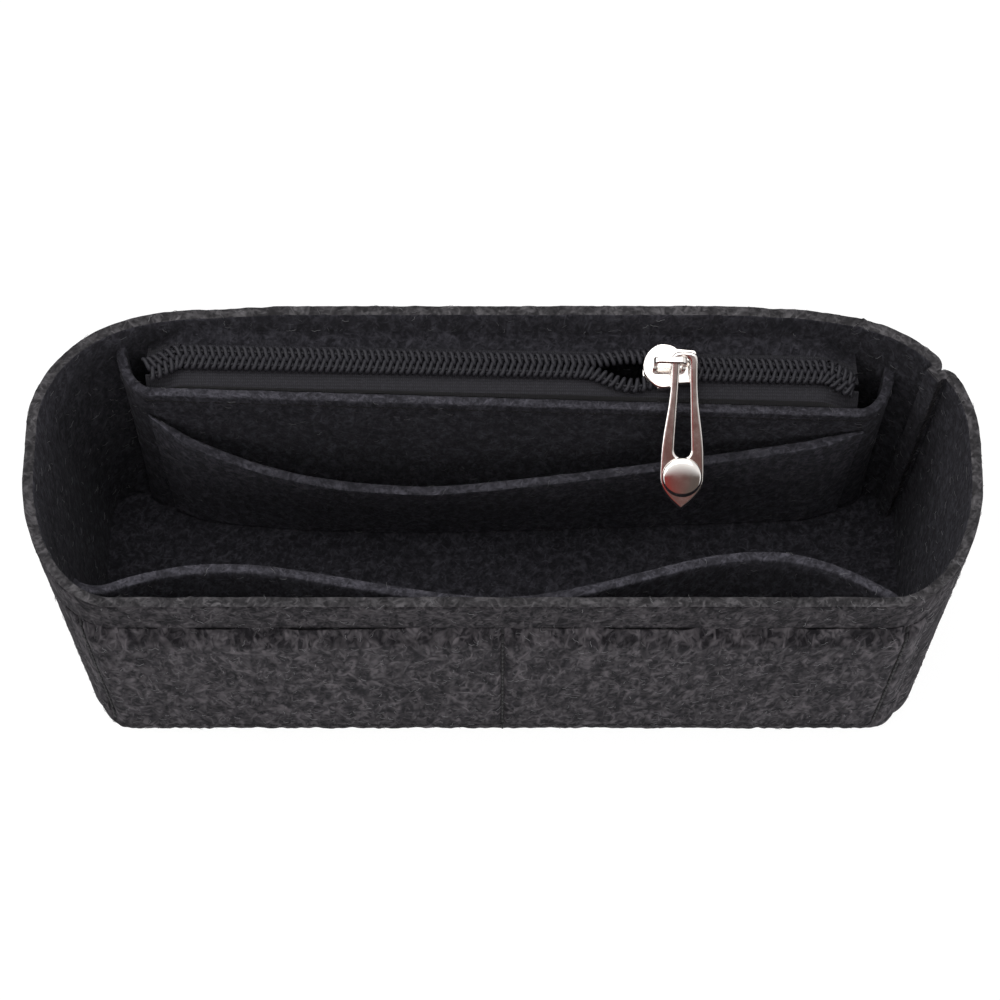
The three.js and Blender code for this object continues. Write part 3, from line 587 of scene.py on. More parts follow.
def outer_free(x, z):
    """Share of the outside pocket that stands free of the wall: none at its sewn sides and its top."""
    from_end = np.minimum(x - OUTER_LEFT, OUTER_RIGHT - x)
    round_end = np.sqrt(1 - (1 - np.clip(from_end / OUTER_PRESSED_RUN, 0, 1)) ** 2)
    low = 1 - ease(z, OUTER_CORNER, 3 * OUTER_CORNER)
    side_free = np.maximum(ease(from_end, 0, OUTER_PRESSED_RUN), round_end * low)
    return np.minimum(side_free, ease(OUTER_TOP - z, 0, OUTER_PRESSED_RUN))


def along_noise(x, wave, row):
    """Noise along a line of X, one line for each row number."""
    return np.vectorize(lambda place: noise.noise(Vector((place / wave, row, 0))))(x)


def outer_sink(x, z):
    """How far the sewing sets the outside pocket back: close to the wall, and into it in places."""
    sunk = SEWN_GAP + OUTER_EDGE_SINK * np.maximum(0, along_noise(x, OUTER_EDGE_WAVE, OUTER_SINK_ROW))
    return sunk * (1 - outer_free(x, z))


def outer_front_y(x, z):
    """Y of the outer face of the outside pocket."""
    depth = felt_depth(outer_pocket_face, x, z) * lerp(OUTER_PRESSED_SHARE, 1, outer_free(x, z))
    return outer_pocket_face(x, z) - depth + outer_sink(x, z) + seam_dent(x, z)


def outer_pocket_felt():
    stations, _ = turned_stations(OUTER_LEFT, OUTER_RIGHT, OUTER_CORNER, OUTER_TURN_STEPS, OUTER_RUN_STEPS)
    top = level_edge(OUTER_TOP)
    near, far = pocket(stations, OUTER_ROWS, outer_pocket_foot, top, outer_pocket_face, -1)
    x, z = far[..., 0], far[..., 2]
    near[..., 1] += outer_sink(x, z)
    tufts = OUTER_TUFT_HEIGHT * along_noise(stations, RIM_TUFT, OUTER_TUFT_ROW)[:, None]
    far[..., 1] = outer_front_y(x, z) + tufts * (1 - ease(z, 0, OUTER_TUFT_RUN))
    return soften(closed_sheet("outer_pocket_felt", near, far), OUTER_CUT_ROUND)


INNER_STATIONS = 141
INNER_ROWS = 34
floor_edge = level_edge(FLOOR_TOP)


def inner_pocket_face(x, z):
    peak = np.where(x < 0, INNER_LEFT_BULGE, INNER_RIGHT_BULGE)
    share = np.clip(np.where(x < 0, x / INNER_LEFT, x / INNER_RIGHT), 0, 1)
    bow = peak * np.sin(np.pi * share**INNER_SKEW)
    return wall_face(x, z, WALL_FELT, False) + SEWN_GAP + bow * lerp(INNER_FOOT_SHARE, 1, z / INNER_TOP)


def inner_pocket_felt():
    stations = np.linspace(INNER_LEFT, INNER_RIGHT, INNER_STATIONS)
    near, far = pocket(stations, INNER_ROWS, floor_edge, level_edge(INNER_TOP), inner_pocket_face, 1)
    return soften(closed_sheet("inner_pocket_felt", near, far), CUT_ROUND)


PANEL_TURN_STEPS = 14
PANEL_RUN_STEPS = 90
PANEL_ROWS = 34
PANEL_TUCK = 1.2 * MM
PANEL_TURN = 6.5 * MM


def zip_panel_felt():
    turned = turned_stations(PANEL_LEFT, PANEL_RIGHT, PANEL_TURN, PANEL_TURN_STEPS, PANEL_RUN_STEPS)
    x, share = (row[:, None] for row in turned)
    z = lerp(FLOOR_TOP, panel_top(x), np.linspace(0, 1, PANEL_ROWS)[None, :])
    back = np.stack([x + 0 * z, panel_back(x, z, share) + PANEL_TUCK * (1 - share) ** 2, z], axis=-1)
    along = np.gradient(back, axis=0)
    along /= np.linalg.norm(along[..., :2], axis=-1, keepdims=True)
    front = back.copy()
    front[..., 0] += POCKET_FELT * along[..., 1]
    front[..., 1] -= POCKET_FELT * along[..., 0]
    limit = wall_face(front[..., 0], z, WALL_FELT, True) + PANEL_TUCK
    front[..., 1] = np.minimum(front[..., 1], limit)
    return soften(closed_sheet("zip_panel_felt", back, front), CUT_ROUND)


slip_left = PANEL_LEFT + PANEL_CORNER + SLIP_SETBACK
slip_right = PANEL_RIGHT - PANEL_CORNER - SLIP_SETBACK


def slip_bow(x):
    """Share of the slip pocket's dip and bulge: it hangs full on the left and rises evenly on the right."""
    on_left = x < SLIP_LOW_POINT
    reach = np.where(on_left, slip_left - SLIP_LOW_POINT, slip_right - SLIP_LOW_POINT)
    share = np.clip((x - SLIP_LOW_POINT) / reach, 0, 1)
    return 1 - share ** np.where(on_left, SLIP_LEFT_FULLNESS, SLIP_RIGHT_FULLNESS)


def slip_top(x):
    fall = SLIP_FALL * (x - slip_left) / (slip_right - slip_left)
    return HEIGHT - SLIP_DROP - fall - SLIP_DIP * slip_bow(x)


def slip_face(x, z):
    fullness = SLIP_BULGE * slip_bow(x) * lerp(SLIP_FOOT_SHARE, 1, z / slip_top(x))
    return panel_front(x, z) - SEWN_GAP - fullness


SLIP_PRESSED_RUN = 9 * MM
SLIP_PRESSED_SHARE = 0.3
SLIP_STATIONS = 121
SLIP_ROWS = 30


def slip_felt():
    stations = np.linspace(slip_left, slip_right, SLIP_STATIONS)
    near, far = pocket(stations, SLIP_ROWS, floor_edge, slip_top, slip_face, -1)
    from_end = np.minimum(stations - slip_left, slip_right - stations)[:, None]
    thickness = lerp(SLIP_PRESSED_SHARE, 1, ease(from_end, 0, SLIP_PRESSED_RUN))
    far[..., 1] = lerp(near[..., 1], far[..., 1], thickness)
    return soften(closed_sheet("slip_felt", near, far), CUT_ROUND)


# Zip
def row_shift(u, side):
    """Sideways run of a coil row: spread round the post, sagging before the nose, its ends bent forward."""
    s = u - SLIDER_REST
    nose = -SLIDER_LENGTH / 2
    spread = ROW_SPREAD * ease(s, SLIDER_SHOULDER, -SLIDER_SHOULDER)
    sag = ROW_SAG * ease(s, -SLIDER_SHOULDER, nose - ROW_SAG_RUN) if side < 0 else 0
    closing = 1 - ease(s, nose - ROW_OPEN_RUN, nose - ROW_CLOSE_RUN)
    bends = ease(u, CHAIN_HALF - CHAIN_END_RUN, CHAIN_HALF)
    bends += ease(u, CHAIN_END_RUN - CHAIN_HALF, -CHAIN_HALF)
    return side * (spread + sag) * closing - CHAIN_END_BEND * bends


TAPE_COLUMNS = 220
TAPE_RUN_ROWS = 8
TAPE_FLANGE_ROWS = 5
TAPE_BARE = 3.6 * MM
TAPE_END_FALL = 5 * MM
TAPE_END_RUN = 9 * MM


def tape_cloth(name, side):
    """Tape: flat beside the chain, then turned down where it is sewn to the felt."""
    x = np.linspace(-CHAIN_HALF, CHAIN_HALF, TAPE_COLUMNS)
    level = zip_level(x)
    outer_level = level + side * panel_reach * math.sin(ZIP_TILT)
    inner_v = side * TAPE_SLOT + row_shift(x, side)
    inner = np.stack([zip_y(x) + inner_v * math.cos(ZIP_TILT), level + inner_v * math.sin(ZIP_TILT)], -1)

    def sewn(z):
        if side > 0:
            return np.stack([wall_face(x, z, WALL_FELT, True) + FELT_TUCK, z], -1)
        return np.stack([panel_back(x, z) + SEWN_GAP + TAPE / 2, z], -1)

    fold = sewn(outer_level)
    fold[:, 1] = level + (fold[:, 0] - zip_y(x)) * math.tan(ZIP_TILT)
    fold[:, 1] -= TAPE_END_FALL * ease(np.abs(x), CHAIN_HALF - TAPE_END_RUN, CHAIN_HALF)
    foot = sewn(outer_level - TAPE_FLANGE - TAPE_END_FALL)
    line = [lerp(inner, fold, step / TAPE_RUN_ROWS) for step in range(TAPE_RUN_ROWS + 1)]
    line += [lerp(fold, foot, step / TAPE_FLANGE_ROWS) for step in range(1, TAPE_FLANGE_ROWS + 1)]
    line = np.stack(line, axis=1)
    along = unit(np.gradient(line, axis=1))
    out = np.stack([-along[..., 1], along[..., 0]], -1) * TAPE / 2
    faces = []
    for sign in (1, -1):
        moved = line + sign * out
        columns = np.repeat(x[:, None], moved.shape[1], axis=1)
        faces.append(np.concatenate([columns[..., None], moved], axis=-1))
    made = closed_sheet(name, *faces)
    with edited(made.data) as mesh:
        face_outward(mesh)
    return made


# Node trees
def add_node(tree, kind, inputs=(), **settings):
    """Adds a node with its settings, and fills or links its inputs, given by name or by number."""
    made = tree.nodes.new(kind)
    for key, value in settings.items():
        setattr(made, key, value)
    for socket, source in dict(inputs).items():
        if isinstance(source, bpy.types.Node):
            source = source.outputs[0]
        if isinstance(source, bpy.types.NodeSocket):
            tree.links.new(source, made.inputs[socket])
        else:
            made.inputs[socket].default_value = source
    return made


class Tree:
    """A Geometry Nodes tree with named inputs, which sets copies of one shape in place."""

    def __init__(self, name, **inputs):
        self.tree = bpy.data.node_groups.new(name, "GeometryNodeTree")
        sockets = self.tree.interface
        for label, kind in {"Geometry": "Geometry", **inputs}.items():
            sockets.new_socket(label, in_out="INPUT", socket_type=f"NodeSocket{kind}")
        sockets.new_socket("Geometry", in_out="OUTPUT", socket_type="NodeSocketGeometry")
        self.given = self.node("NodeGroupInput").outputs

    def node(self, kind, inputs=(), **settings):
        return add_node(self.tree, kind, inputs, **settings)

    def copies(self, points, **inputs):
        """Copies of the shape, one on each point."""
        known = {"Object": self.given["Shape"]}
        shape = self.node("GeometryNodeObjectInfo", known, transform_space="ORIGINAL").outputs["Geometry"]
        inputs.update(Points=points.outputs["Points"], Instance=shape)
        return self.node("GeometryNodeInstanceOnPoints", inputs)

    def finish(self, copies):
        """Ends the tree with the copies made real and given the material."""
        real = self.node("GeometryNodeRealizeInstances", {"Geometry": copies})
        covered = {"Geometry": real, "Material": self.given["Material"]}
        self.node("NodeGroupOutput", {0: self.node("GeometryNodeSetMaterial", covered)})
        return self.tree


def evaluated_mesh(source):
    """Plain mesh of an object as its modifiers or its curve make it."""
    bpy.context.view_layer.update()
    ready = source.evaluated_get(bpy.context.evaluated_depsgraph_get())
    return bpy.data.meshes.new_from_object(ready)


def grown(name, source, tree, **values):
    """Evaluates a tree on a source object and returns the result as a mesh object of its own."""
    modifier = source.modifiers.new("grow", "NODES")
    modifier.node_group = tree
    for item in tree.interface.items_tree:
        if item.in_out == "INPUT" and item.name in values:
            modifier[item.identifier] = values[item.name]
    mesh = evaluated_mesh(source)
    mesh.name = name
    source.modifiers.remove(modifier)
    return add_object(name, mesh)


def repeat_tree():
    """Copies of a shape along a line, turned to the line and to the stored outward direction."""
    tree = Tree("repeat_along", Shape="Object", Spacing="Float", Material="Material")
    curve = tree.node("GeometryNodeMeshToCurve", {"Mesh": tree.given["Geometry"]})
    spaced = {"Curve": curve, "Length": tree.given["Spacing"]}
    points = tree.node("GeometryNodeCurveToPoints", spaced, mode="LENGTH")
    out = tree.node("GeometryNodeInputNamedAttribute", {"Name": "out"}, data_type="FLOAT_VECTOR")
    align = "FunctionNodeAlignRotationToVector"
    along = tree.node(align, {"Vector": points.outputs["Tangent"]}, axis="X")
    turned = tree.node(align, {"Rotation": along, "Vector": out}, axis="Z", pivot_axis="X")
    return tree.finish(tree.copies(points, Rotation=turned.outputs[0]))


FIBRE_LEAST_TURN = (-0.3, -0.25, 0.0)
FIBRE_MOST_TURN = (0.3, 0.25, math.tau)
FIBRE_LEAST_SIZE = 0.55
FIBRE_MOST_SIZE = 1.35


def fibre_tree():
    """Short fibres scattered over felt, lying nearly flat at random turns."""
    tree = Tree("felt_fibres", Shape="Object", Density="Float", Seed="Int", Material="Material")
    seed = tree.given["Seed"]
    scattered = {"Mesh": tree.given["Geometry"], "Density": tree.given["Density"], "Seed": seed}
    points = tree.node("GeometryNodeDistributePointsOnFaces", scattered, distribute_method="RANDOM")
    draw = "FunctionNodeRandomValue"
    turns = {0: FIBRE_LEAST_TURN, 1: FIBRE_MOST_TURN, "Seed": seed}
    spin = tree.node(draw, turns, data_type="FLOAT_VECTOR")
    size = tree.node(draw, {2: FIBRE_LEAST_SIZE, 3: FIBRE_MOST_SIZE, "Seed": seed}, data_type="FLOAT")
    tone = tree.node(draw, {"Seed": seed}, data_type="FLOAT")
    copies = tree.copies(points, Rotation=points.outputs["Rotation"], Scale=size.outputs[1])
    turned = tree.node("GeometryNodeRotateInstances", {"Instances": copies, "Rotation": spin})
    marks = {"Geometry": turned, "Name": "tone", "Value": tone.outputs[1]}
    marked = tree.node("GeometryNodeStoreNamedAttribute", marks, data_type="FLOAT", domain="INSTANCE")
    return tree.finish(marked)


# Lines and tubes
def ring_faces(rings, sides, ends=False):
    """Quads between rings of points, and a face over each end where asked."""
    faces = []
    for low in range(0, (rings - 1) * sides, sides):
        high = low + sides
        for side in range(sides):
            after = (side + 1) % sides
            faces.append((low + side, low + after, high + after, high + side))
    if ends:
        faces.append(tuple(reversed(range(sides))))
        faces.append(tuple((rings - 1) * sides + side for side in range(sides)))
    return faces


STEEP = 0.2


def tube(name, path, radius, sides, ends=True):
    """Round tube along a path of points, closed at its ends where asked."""
    path = np.asarray(path, float)
    points = []
    for centre, ahead in zip(path, unit(np.gradient(path, axis=0))):
        across = np.cross(ahead, (0.0, 0.0, 1.0))
        if np.linalg.norm(across) < STEEP:
            across = np.cross(ahead, (0.0, 1.0, 0.0))
        across = unit(across)
        over = np.cross(across, ahead)
        for side in range(sides):
            angle = side / sides * math.tau
            points.append(centre + radius * (math.cos(angle) * across + math.sin(angle) * over))
    made = mesh_object(name, points, ring_faces(len(path), sides, ends))
    made.data.shade_smooth()
    return made


def drawn(line, length):
    """Points of a line given along it in shares of a length, and across and over it in millimetres."""
    return [(u * length, v * MM, w * MM) for u, v, w in line]


def smooth_path(points, steps):
    """Catmull-Rom line through points, with steps between each two."""
    points = np.asarray(points, float)
    padded = np.concatenate([[2 * points[0] - points[1]], points, [2 * points[-1] - points[-2]]])
    line = []
    for index in range(len(points) - 1):
        a, b, c, d = padded[index : index + 4]
        for step in range(steps):
            t = step / steps
            square = (2 * a - 5 * b + 4 * c - d) * t**2
            cube = (3 * b - a - 3 * c + d) * t**3
            line.append(0.5 * (2 * b + (c - a) * t + square + cube))
    line.append(points[-1])
    return np.array(line)


def line_object(name, points, out):
    """Line of points as a mesh of edges, with its outward direction stored at each point."""
    edges = [(index, index + 1) for index in range(len(points) - 1)]
    mesh = mesh_data(name, points, [], edges)
    stored = mesh.attributes.new("out", "FLOAT_VECTOR", "POINT")
    stored.data.foreach_set("vector", out * len(points))
    return add_object(name, mesh)


# Materials
class Paint:
    """A node material, with short calls for adding nodes."""

    def __init__(self, name, grain=(1, 1, 1), **sockets):
        self.material = bpy.data.materials.new(name)
        self.material.use_nodes = True
        self.tree = self.material.node_tree
        self.grain = grain
        self.shader = self.tree.nodes["Principled BSDF"]
        for label, value in sockets.items():
            self.shader.inputs[label.replace("_", " ")].default_value = value
        self.place = self.node("ShaderNodeTexCoord").outputs["Object"]

    def node(self, kind, inputs=(), **settings):
        return add_node(self.tree, kind, inputs, **settings)

    def noise(self, size, detail=2.0, turn=(0, 0, 0), stretch=(1, 1, 1), curl=0.0):
        """Noise of one grain size, in metres, stretched along a turned axis."""
        scale = [1 / (size * share) for share in stretch]
        lie = {"Vector": self.place, "Rotation": turn, "Scale": self.grain}
        turned = self.node("ShaderNodeMapping", lie)
        scaled = self.node("ShaderNodeMapping", {"Vector": turned, "Scale": scale})
        grain = {"Vector": scaled, "Scale": 1.0, "Detail": detail, "Distortion": curl}
        return self.node("ShaderNodeTexNoise", grain).outputs["Fac"]

    def wave(self, scale, distortion, direction):
        waves = {"Vector": self.place, "Scale": scale, "Distortion": distortion}
        return self.node("ShaderNodeTexWave", waves, bands_direction=direction).outputs["Fac"]

    def range(self, value, low, high, start=0.0, end=1.0):
        ends = {"Value": value, "From Min": low, "From Max": high, "To Min": start, "To Max": end}
        return self.node("ShaderNodeMapRange", ends).outputs[0]

    def math(self, operation, a, b):
        return self.node("ShaderNodeMath", {0: a, 1: b}, operation=operation).outputs[0]

    def mix(self, share, first, second):
        made = self.node("ShaderNodeMix", {"Factor": share, 6: first, 7: second}, data_type="RGBA")
        return made.outputs[2]

    def use(self, label, value):
        self.tree.links.new(value, self.shader.inputs[label])

    def bump(self, height, strength, distance):
        relief = {"Height": height, "Strength": strength, "Distance": distance}
        self.use("Normal", self.node("ShaderNodeBump", relief).outputs[0])

    def surface(self, shader):
        """Shows another shader in place of the usual one."""
        self.tree.links.new(shader.outputs[0], self.tree.nodes["Material Output"].inputs["Surface"])


# Felt: ways its fibres lie, and how its grain is cut into flecks, clumps, pits and clouds
FIBRE_WAYS = ((1, 0, 0.2), (0.2, 0, 1), (0.2, 1, 0.2), (1, 0.2, 1), (1, -0.2, -1), (1, 1, 0), (1, -1, 0))
FIBRE_STRETCH = 2.3
FIBRE_CURL = 1.1
FIBRE_DETAIL = 0.4
FLECK_RANGE = (0.58, 0.8)
CLUMP_WIDTHS = 1.6
CLUMP_RANGE = (0.33, 0.67)
PIT_WIDTHS = 1.1
PIT_RANGE = (0.3, 0.52)
CLOUD_RANGE = (0.3, 0.7)
CLOUD = 6 * MM
CLOUD_TONES = (0.75, 1.0)
LEAST_PALE_SHARE = 0.3
FELT_RELIEF = 0.3 * MM
INSIDE_FIBRE = 1.2 * MM
INSIDE_RISE = 2.0
OUTSIDE_TONES = ((0.0085, 0.0079, 0.0093), (0.0365, 0.0336, 0.0378), (0.128, 0.117, 0.126))
# Tones for the wall's rim, lighter than the felt round it: painted highlight.
RIM_HIGHLIGHT_TONES = ((0.022, 0.0212, 0.0226), (0.051, 0.0488, 0.052), (0.116, 0.111, 0.117))
INSIDE_TONES = ((0.023, 0.0223, 0.0267), (0.044, 0.0427, 0.051), (0.09, 0.0873, 0.1044))


def felt_paint(name, tones, lightness=1.0, width=INSIDE_FIBRE, rise=INSIDE_RISE):
    """Charcoal felt: a mottled ground with paler fibres of one width, drawn out by rise up the walls."""
    paint = Paint(
        name,
        (1, 1, 1 / rise),
        Roughness=0.96,
        Specular_IOR_Level=0.03,
        Sheen_Weight=0.05,
        Sheen_Roughness=0.6,
        Sheen_Tint=(0.55, 0.55, 0.6, 1),
    )
    dark, middle, pale = ([lightness * part for part in tone] + [1] for tone in tones)
    flecks = None
    for way in FIBRE_WAYS:
        turn = Vector(way).normalized().rotation_difference(Vector((1, 0, 0))).to_euler()
        grain = paint.noise(width, FIBRE_DETAIL, turn, (FIBRE_STRETCH, 1, 1), FIBRE_CURL)
        fleck = paint.range(grain, *FLECK_RANGE)
        flecks = fleck if flecks is None else paint.math("MAXIMUM", flecks, fleck)
    clumps = paint.range(paint.noise(CLUMP_WIDTHS * width, detail=1.2, curl=0.5), *CLUMP_RANGE)
    pits = paint.range(paint.noise(PIT_WIDTHS * width, detail=0.6, curl=0.6), *PIT_RANGE)
    cloud = paint.range(paint.noise(CLOUD), *CLOUD_RANGE, *CLOUD_TONES)
    ground = paint.mix(paint.math("MULTIPLY", paint.math("MULTIPLY", clumps, cloud), pits), dark, middle)
    pale_share = paint.math("MULTIPLY", flecks, paint.range(clumps, 0, 1, LEAST_PALE_SHARE))
    paint.use("Base Color", paint.mix(pale_share, ground, pale))
    height = paint.math("ADD", paint.math("ADD", flecks, clumps), pits)
    paint.bump(height, strength=0.35, distance=FELT_RELIEF)
    return paint.material


# Other finishes: the dark and the pale tone of each, and the sizes of their marks
FIBRE_TONES = ((0.02, 0.02, 0.022, 1), (0.2, 0.2, 0.21, 1))
TAPE_TONES = ((0.0128, 0.0125, 0.0152, 1), (0.0265, 0.026, 0.0312, 1))
TAPE_WARP = 420.0
TAPE_WEFT = 620.0
TAPE_LINT = 0.5 * MM
TAPE_RELIEF = 0.12 * MM
NYLON_TONES = ((0.013, 0.0127, 0.0155, 1), (0.027, 0.0265, 0.032, 1))
NYLON_WEAR = 1.2 * MM
THREAD_TONES = ((0.006, 0.006, 0.007, 1), (0.02, 0.02, 0.022, 1))
THREAD_TWIST = 900.0
THREAD_RELIEF = 0.05 * MM
NICKEL_TONES = ((0.76, 0.71, 0.68, 1), (0.86, 0.83, 0.8, 1))
NICKEL_HAZE = 2.5 * MM
NICKEL_HAZE_SHARE = 0.7
NICKEL_SCRATCH = 0.12 * MM
NICKEL_SCRATCH_SHARE = 0.3
NICKEL_SCRATCH_WAY = (0.2, 0.1, 0.7)
NICKEL_SCRATCH_STRETCH = (14, 1, 1)
NICKEL_RELIEF = 0.02 * MM


def fibre_paint(name):
    """Loose fibres, each between charcoal and pale grey."""
    paint = Paint(name, Roughness=0.8, Specular_IOR_Level=0.2)
    tone = paint.node("ShaderNodeAttribute", attribute_name="tone").outputs["Fac"]
    share = paint.range(tone, low=0.35, high=1.0)
    paint.use("Base Color", paint.mix(share, *FIBRE_TONES))
    return paint.material


def tape_paint(name):
    """Black woven tape: ribs along it, crossed by fine weft."""
    paint = Paint(name, Roughness=0.85, Specular_IOR_Level=0.25, Sheen_Weight=0.1)
    warp = paint.wave(TAPE_WARP, distortion=0.4, direction="Y")
    weft = paint.wave(TAPE_WEFT, distortion=0.6, direction="X")
    weave = paint.math("MULTIPLY", warp, weft)
    lint = paint.range(paint.noise(TAPE_LINT, detail=3.0), low=0.5, high=0.8)
    share = paint.math("ADD", weave, lint)
    paint.use("Base Color", paint.mix(share, *TAPE_TONES))
    paint.bump(weave, strength=0.5, distance=TAPE_RELIEF)
    return paint.material


def nylon_paint(name):
    """Black nylon filament, satin and unevenly worn."""
    paint = Paint(name, Specular_IOR_Level=0.22)
    wear = paint.noise(NYLON_WEAR, detail=3.0)
    paint.use("Roughness", paint.range(wear, low=0.3, high=0.7, start=0.45, end=0.65))
    paint.use("Base Color", paint.mix(wear, *NYLON_TONES))
    return paint.material


def thread_paint(name):
    """Black sewing thread, twisted."""
    paint = Paint(name, Roughness=0.7, Specular_IOR_Level=0.3)
    twist = paint.wave(THREAD_TWIST, distortion=1.0, direction="DIAGONAL")
    paint.use("Base Color", paint.mix(twist, *THREAD_TONES))
    paint.bump(twist, strength=0.4, distance=THREAD_RELIEF)
    return paint.material


def nickel_paint(name):
    """Polished nickel plate with faint handling marks."""
    paint = Paint(name, Metallic=1.0)
    haze = paint.noise(NICKEL_HAZE, detail=4.0)
    scratch = paint.noise(NICKEL_SCRATCH, turn=NICKEL_SCRATCH_WAY, stretch=NICKEL_SCRATCH_STRETCH)
    hazed = paint.math("MULTIPLY", haze, NICKEL_HAZE_SHARE)
    scratched = paint.math("MULTIPLY", scratch, NICKEL_SCRATCH_SHARE)
    wear = paint.math("ADD", hazed, scratched)
    paint.use("Roughness", paint.range(wear, low=0.35, high=0.7, start=0.07, end=0.2))
    paint.use("Base Color", paint.mix(haze, *NICKEL_TONES))
    paint.bump(scratch, strength=0.03, distance=NICKEL_RELIEF)
    return paint.material


outside_felt = felt_paint("felt_outside", OUTSIDE_TONES, lightness=0.82, width=1.75 * MM, rise=2.7)
wall_outside_felt = felt_paint(
    "felt_wall_outside", OUTSIDE_TONES, lightness=0.62, width=1.6 * MM, rise=1.8
)
# Lighter felt for the wall's up-facing rim: painted highlight.
rim_highlight_felt = felt_paint("felt_rim_painted_highlight", RIM_HIGHLIGHT_TONES, width=1.5 * MM, rise=1.0)
inside_felt = felt_paint("felt_inside", INSIDE_TONES)
# Darker copy of the inside felt for the inner wall, the base and the panel's up-facing ends: painted shade.
shaded_felt = felt_paint("felt_painted_shade", INSIDE_TONES, lightness=0.66)
# Still darker copy for the tape's felt-faced strip behind the coil: painted shade.
strip_shade_felt = felt_paint("felt_strip_painted_shade", INSIDE_TONES, lightness=0.48)
# Lighter copy of the inside felt for the slip pocket: painted light.
slip_lit_felt = felt_paint("felt_slip_painted_light", INSIDE_TONES, lightness=1.6)
cut_felt = felt_paint("felt_cut", INSIDE_TONES, width=0.9 * MM, rise=1.0)
fibre_finish = fibre_paint("felt_fibre")
tape_finish = tape_paint("zip_tape")
nylon_finish = nylon_paint("zip_coil")
thread_finish = thread_paint("thread")
nickel_finish = nickel_paint("nickel")


def dress(piece, body, slot, *materials):
    """Gives a finished piece its materials and body."""
    for material in materials:
        piece.data.materials.append(material)
    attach(piece, body)
    return piece


# Felt pieces in place
CUT_FACING = 0.7


def faced_up(face):
    return face.normal.z > CUT_FACING


def faced_out(face):
    return face.normal.x * face.center.x + face.normal.y * face.center.y > 0


def on_panel_run(face):
    return PANEL_LEFT + PANEL_TURN < face.center.x < PANEL_RIGHT - PANEL_TURN


def behind_coil(face):
    return face.center.y - zip_y(face.center.x) > TAPE_BARE


def finish_faces(felt, number, *tests):
    """Gives the finish of one number to the faces that pass every test."""
    for face in felt.data.polygons:
        if all(test(face) for test in tests):
            face.material_index = number


# The wall's inner faces take the painted-shade felt, and its up-facing rim the painted-highlight felt.
wall = dress(wall_felt(), "organizer", "felt", shaded_felt, wall_outside_felt, rim_highlight_felt)
finish_faces(wall, 1, faced_out)
finish_faces(wall, 2, faced_up)
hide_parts("wall_wrap")
# The base inside the tub takes the painted-shade felt.
base = dress(base_felt(), "organizer", "felt", shaded_felt)
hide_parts("base_panel")
outer = dress(outer_pocket_felt(), "organizer", "felt", outside_felt)
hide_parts("front_outer_pocket")
inner = dress(inner_pocket_felt(), "organizer", "felt", inside_felt)
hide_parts("front_inner_pocket")
panel = dress(zip_panel_felt(), "organizer", "felt", inside_felt, shaded_felt, cut_felt)
# The panel's up-facing faces take the painted-shade felt near its ends, where it meets the wall, and the cut
# felt along its run.
finish_faces(panel, 1, faced_up)
finish_faces(panel, 2, faced_up, on_panel_run)
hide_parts("zip_pocket_panel")
# The slip pocket's faces take the painted-light felt; its up-facing faces keep the inside felt.
slip = dress(slip_felt(), "organizer", "felt", slip_lit_felt, inside_felt)
finish_faces(slip, 1, faced_up)
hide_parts("slip_pocket_panel")

# Zip tapes and coils in place
repeat = repeat_tree()
tape_back = dress(tape_cloth("tape_back", 1), "organizer", "zip_tape", tape_finish, strip_shade_felt)
# The tape's faces behind the coil take the painted-shade strip felt, so the strip blends into the shaded
# wall.
finish_faces(tape_back, 1, behind_coil)
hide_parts("zip_tape_back")
tape_front = dress(tape_cloth("tape_front", -1), "organizer", "zip_tape", tape_finish)
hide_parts("zip_tape_front")

# One turn of the coil: along the chain in pitches, across it and over the tape in millimetres
COIL_TURN = (
    (-0.50, 2.64, 0.85),
    (-0.42, 2.55, 1.18),
    (-0.24, 2.20, 1.34),
    (-0.02, 1.10, 1.34),
    (0.12, 0.30, 1.32),
    (0.18, -0.06, 1.14),
    (0.20, -0.14, 0.85),
    (0.22, -0.06, 0.56),
    (0.24, 0.30, 0.38),
    (0.32, 1.10, 0.36),
    (0.42, 2.20, 0.36),
    (0.47, 2.55, 0.52),
    (0.50, 2.64, 0.85),
)
COIL_SIDES = 7
CORE_RADIUS = 0.36 * MM
CORE_ACROSS = 1.55 * MM
CORE_RISE = 0.85 * MM
CORE_SIDES = 6
TURN_STEPS = 2
LINE_STEPS = 4


def coil_row(name, side):
    turn = smooth_path(drawn(COIL_TURN, COIL_PITCH), TURN_STEPS)
    loop = tube("coil_turn", turn, COIL_WIRE, COIL_SIDES, ends=False)
    loop.data.transform(Matrix.Scale(side, 4, Vector((0, 1, 0))))
    if side < 0:
        loop.data.flip_normals()
    count = int((2 * CHAIN_HALF - COIL_PITCH) / COIL_PITCH)
    first = -CHAIN_HALF + (0.5 if side > 0 else 1) * COIL_PITCH
    u = np.linspace(first, first + (count - 1) * COIL_PITCH, count * LINE_STEPS)
    path = np.stack([u, row_shift(u, side), np.full_like(u, TAPE / 2 + RUNNING_GAP)], -1)
    row = line_object("row_path", path, (0, 0, 1))
    made = grown(name, row, repeat, Shape=loop, Spacing=COIL_PITCH, Material=nylon_finish)
    core = tube("coil_core", path[::2] + (0, side * CORE_ACROSS, CORE_RISE), CORE_RADIUS, CORE_SIDES)
    with edited(made.data) as mesh:
        mesh.from_mesh(core.data)
        for face in mesh.faces:
            face.material_index = 0
    made.data.materials.clear()
    for spare in (loop, row, core):
        bpy.data.objects.remove(spare)
    made.data.transform(chain_place)
    made.data.shade_smooth()
    return made


coil_back = dress(coil_row("coil_back", 1), "organizer", "zip_coil", nylon_finish)
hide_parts("zip_coil_back")
coil_front = dress(coil_row("coil_front", -1), "organizer", "zip_coil", nylon_finish)
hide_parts("zip_coil_front")


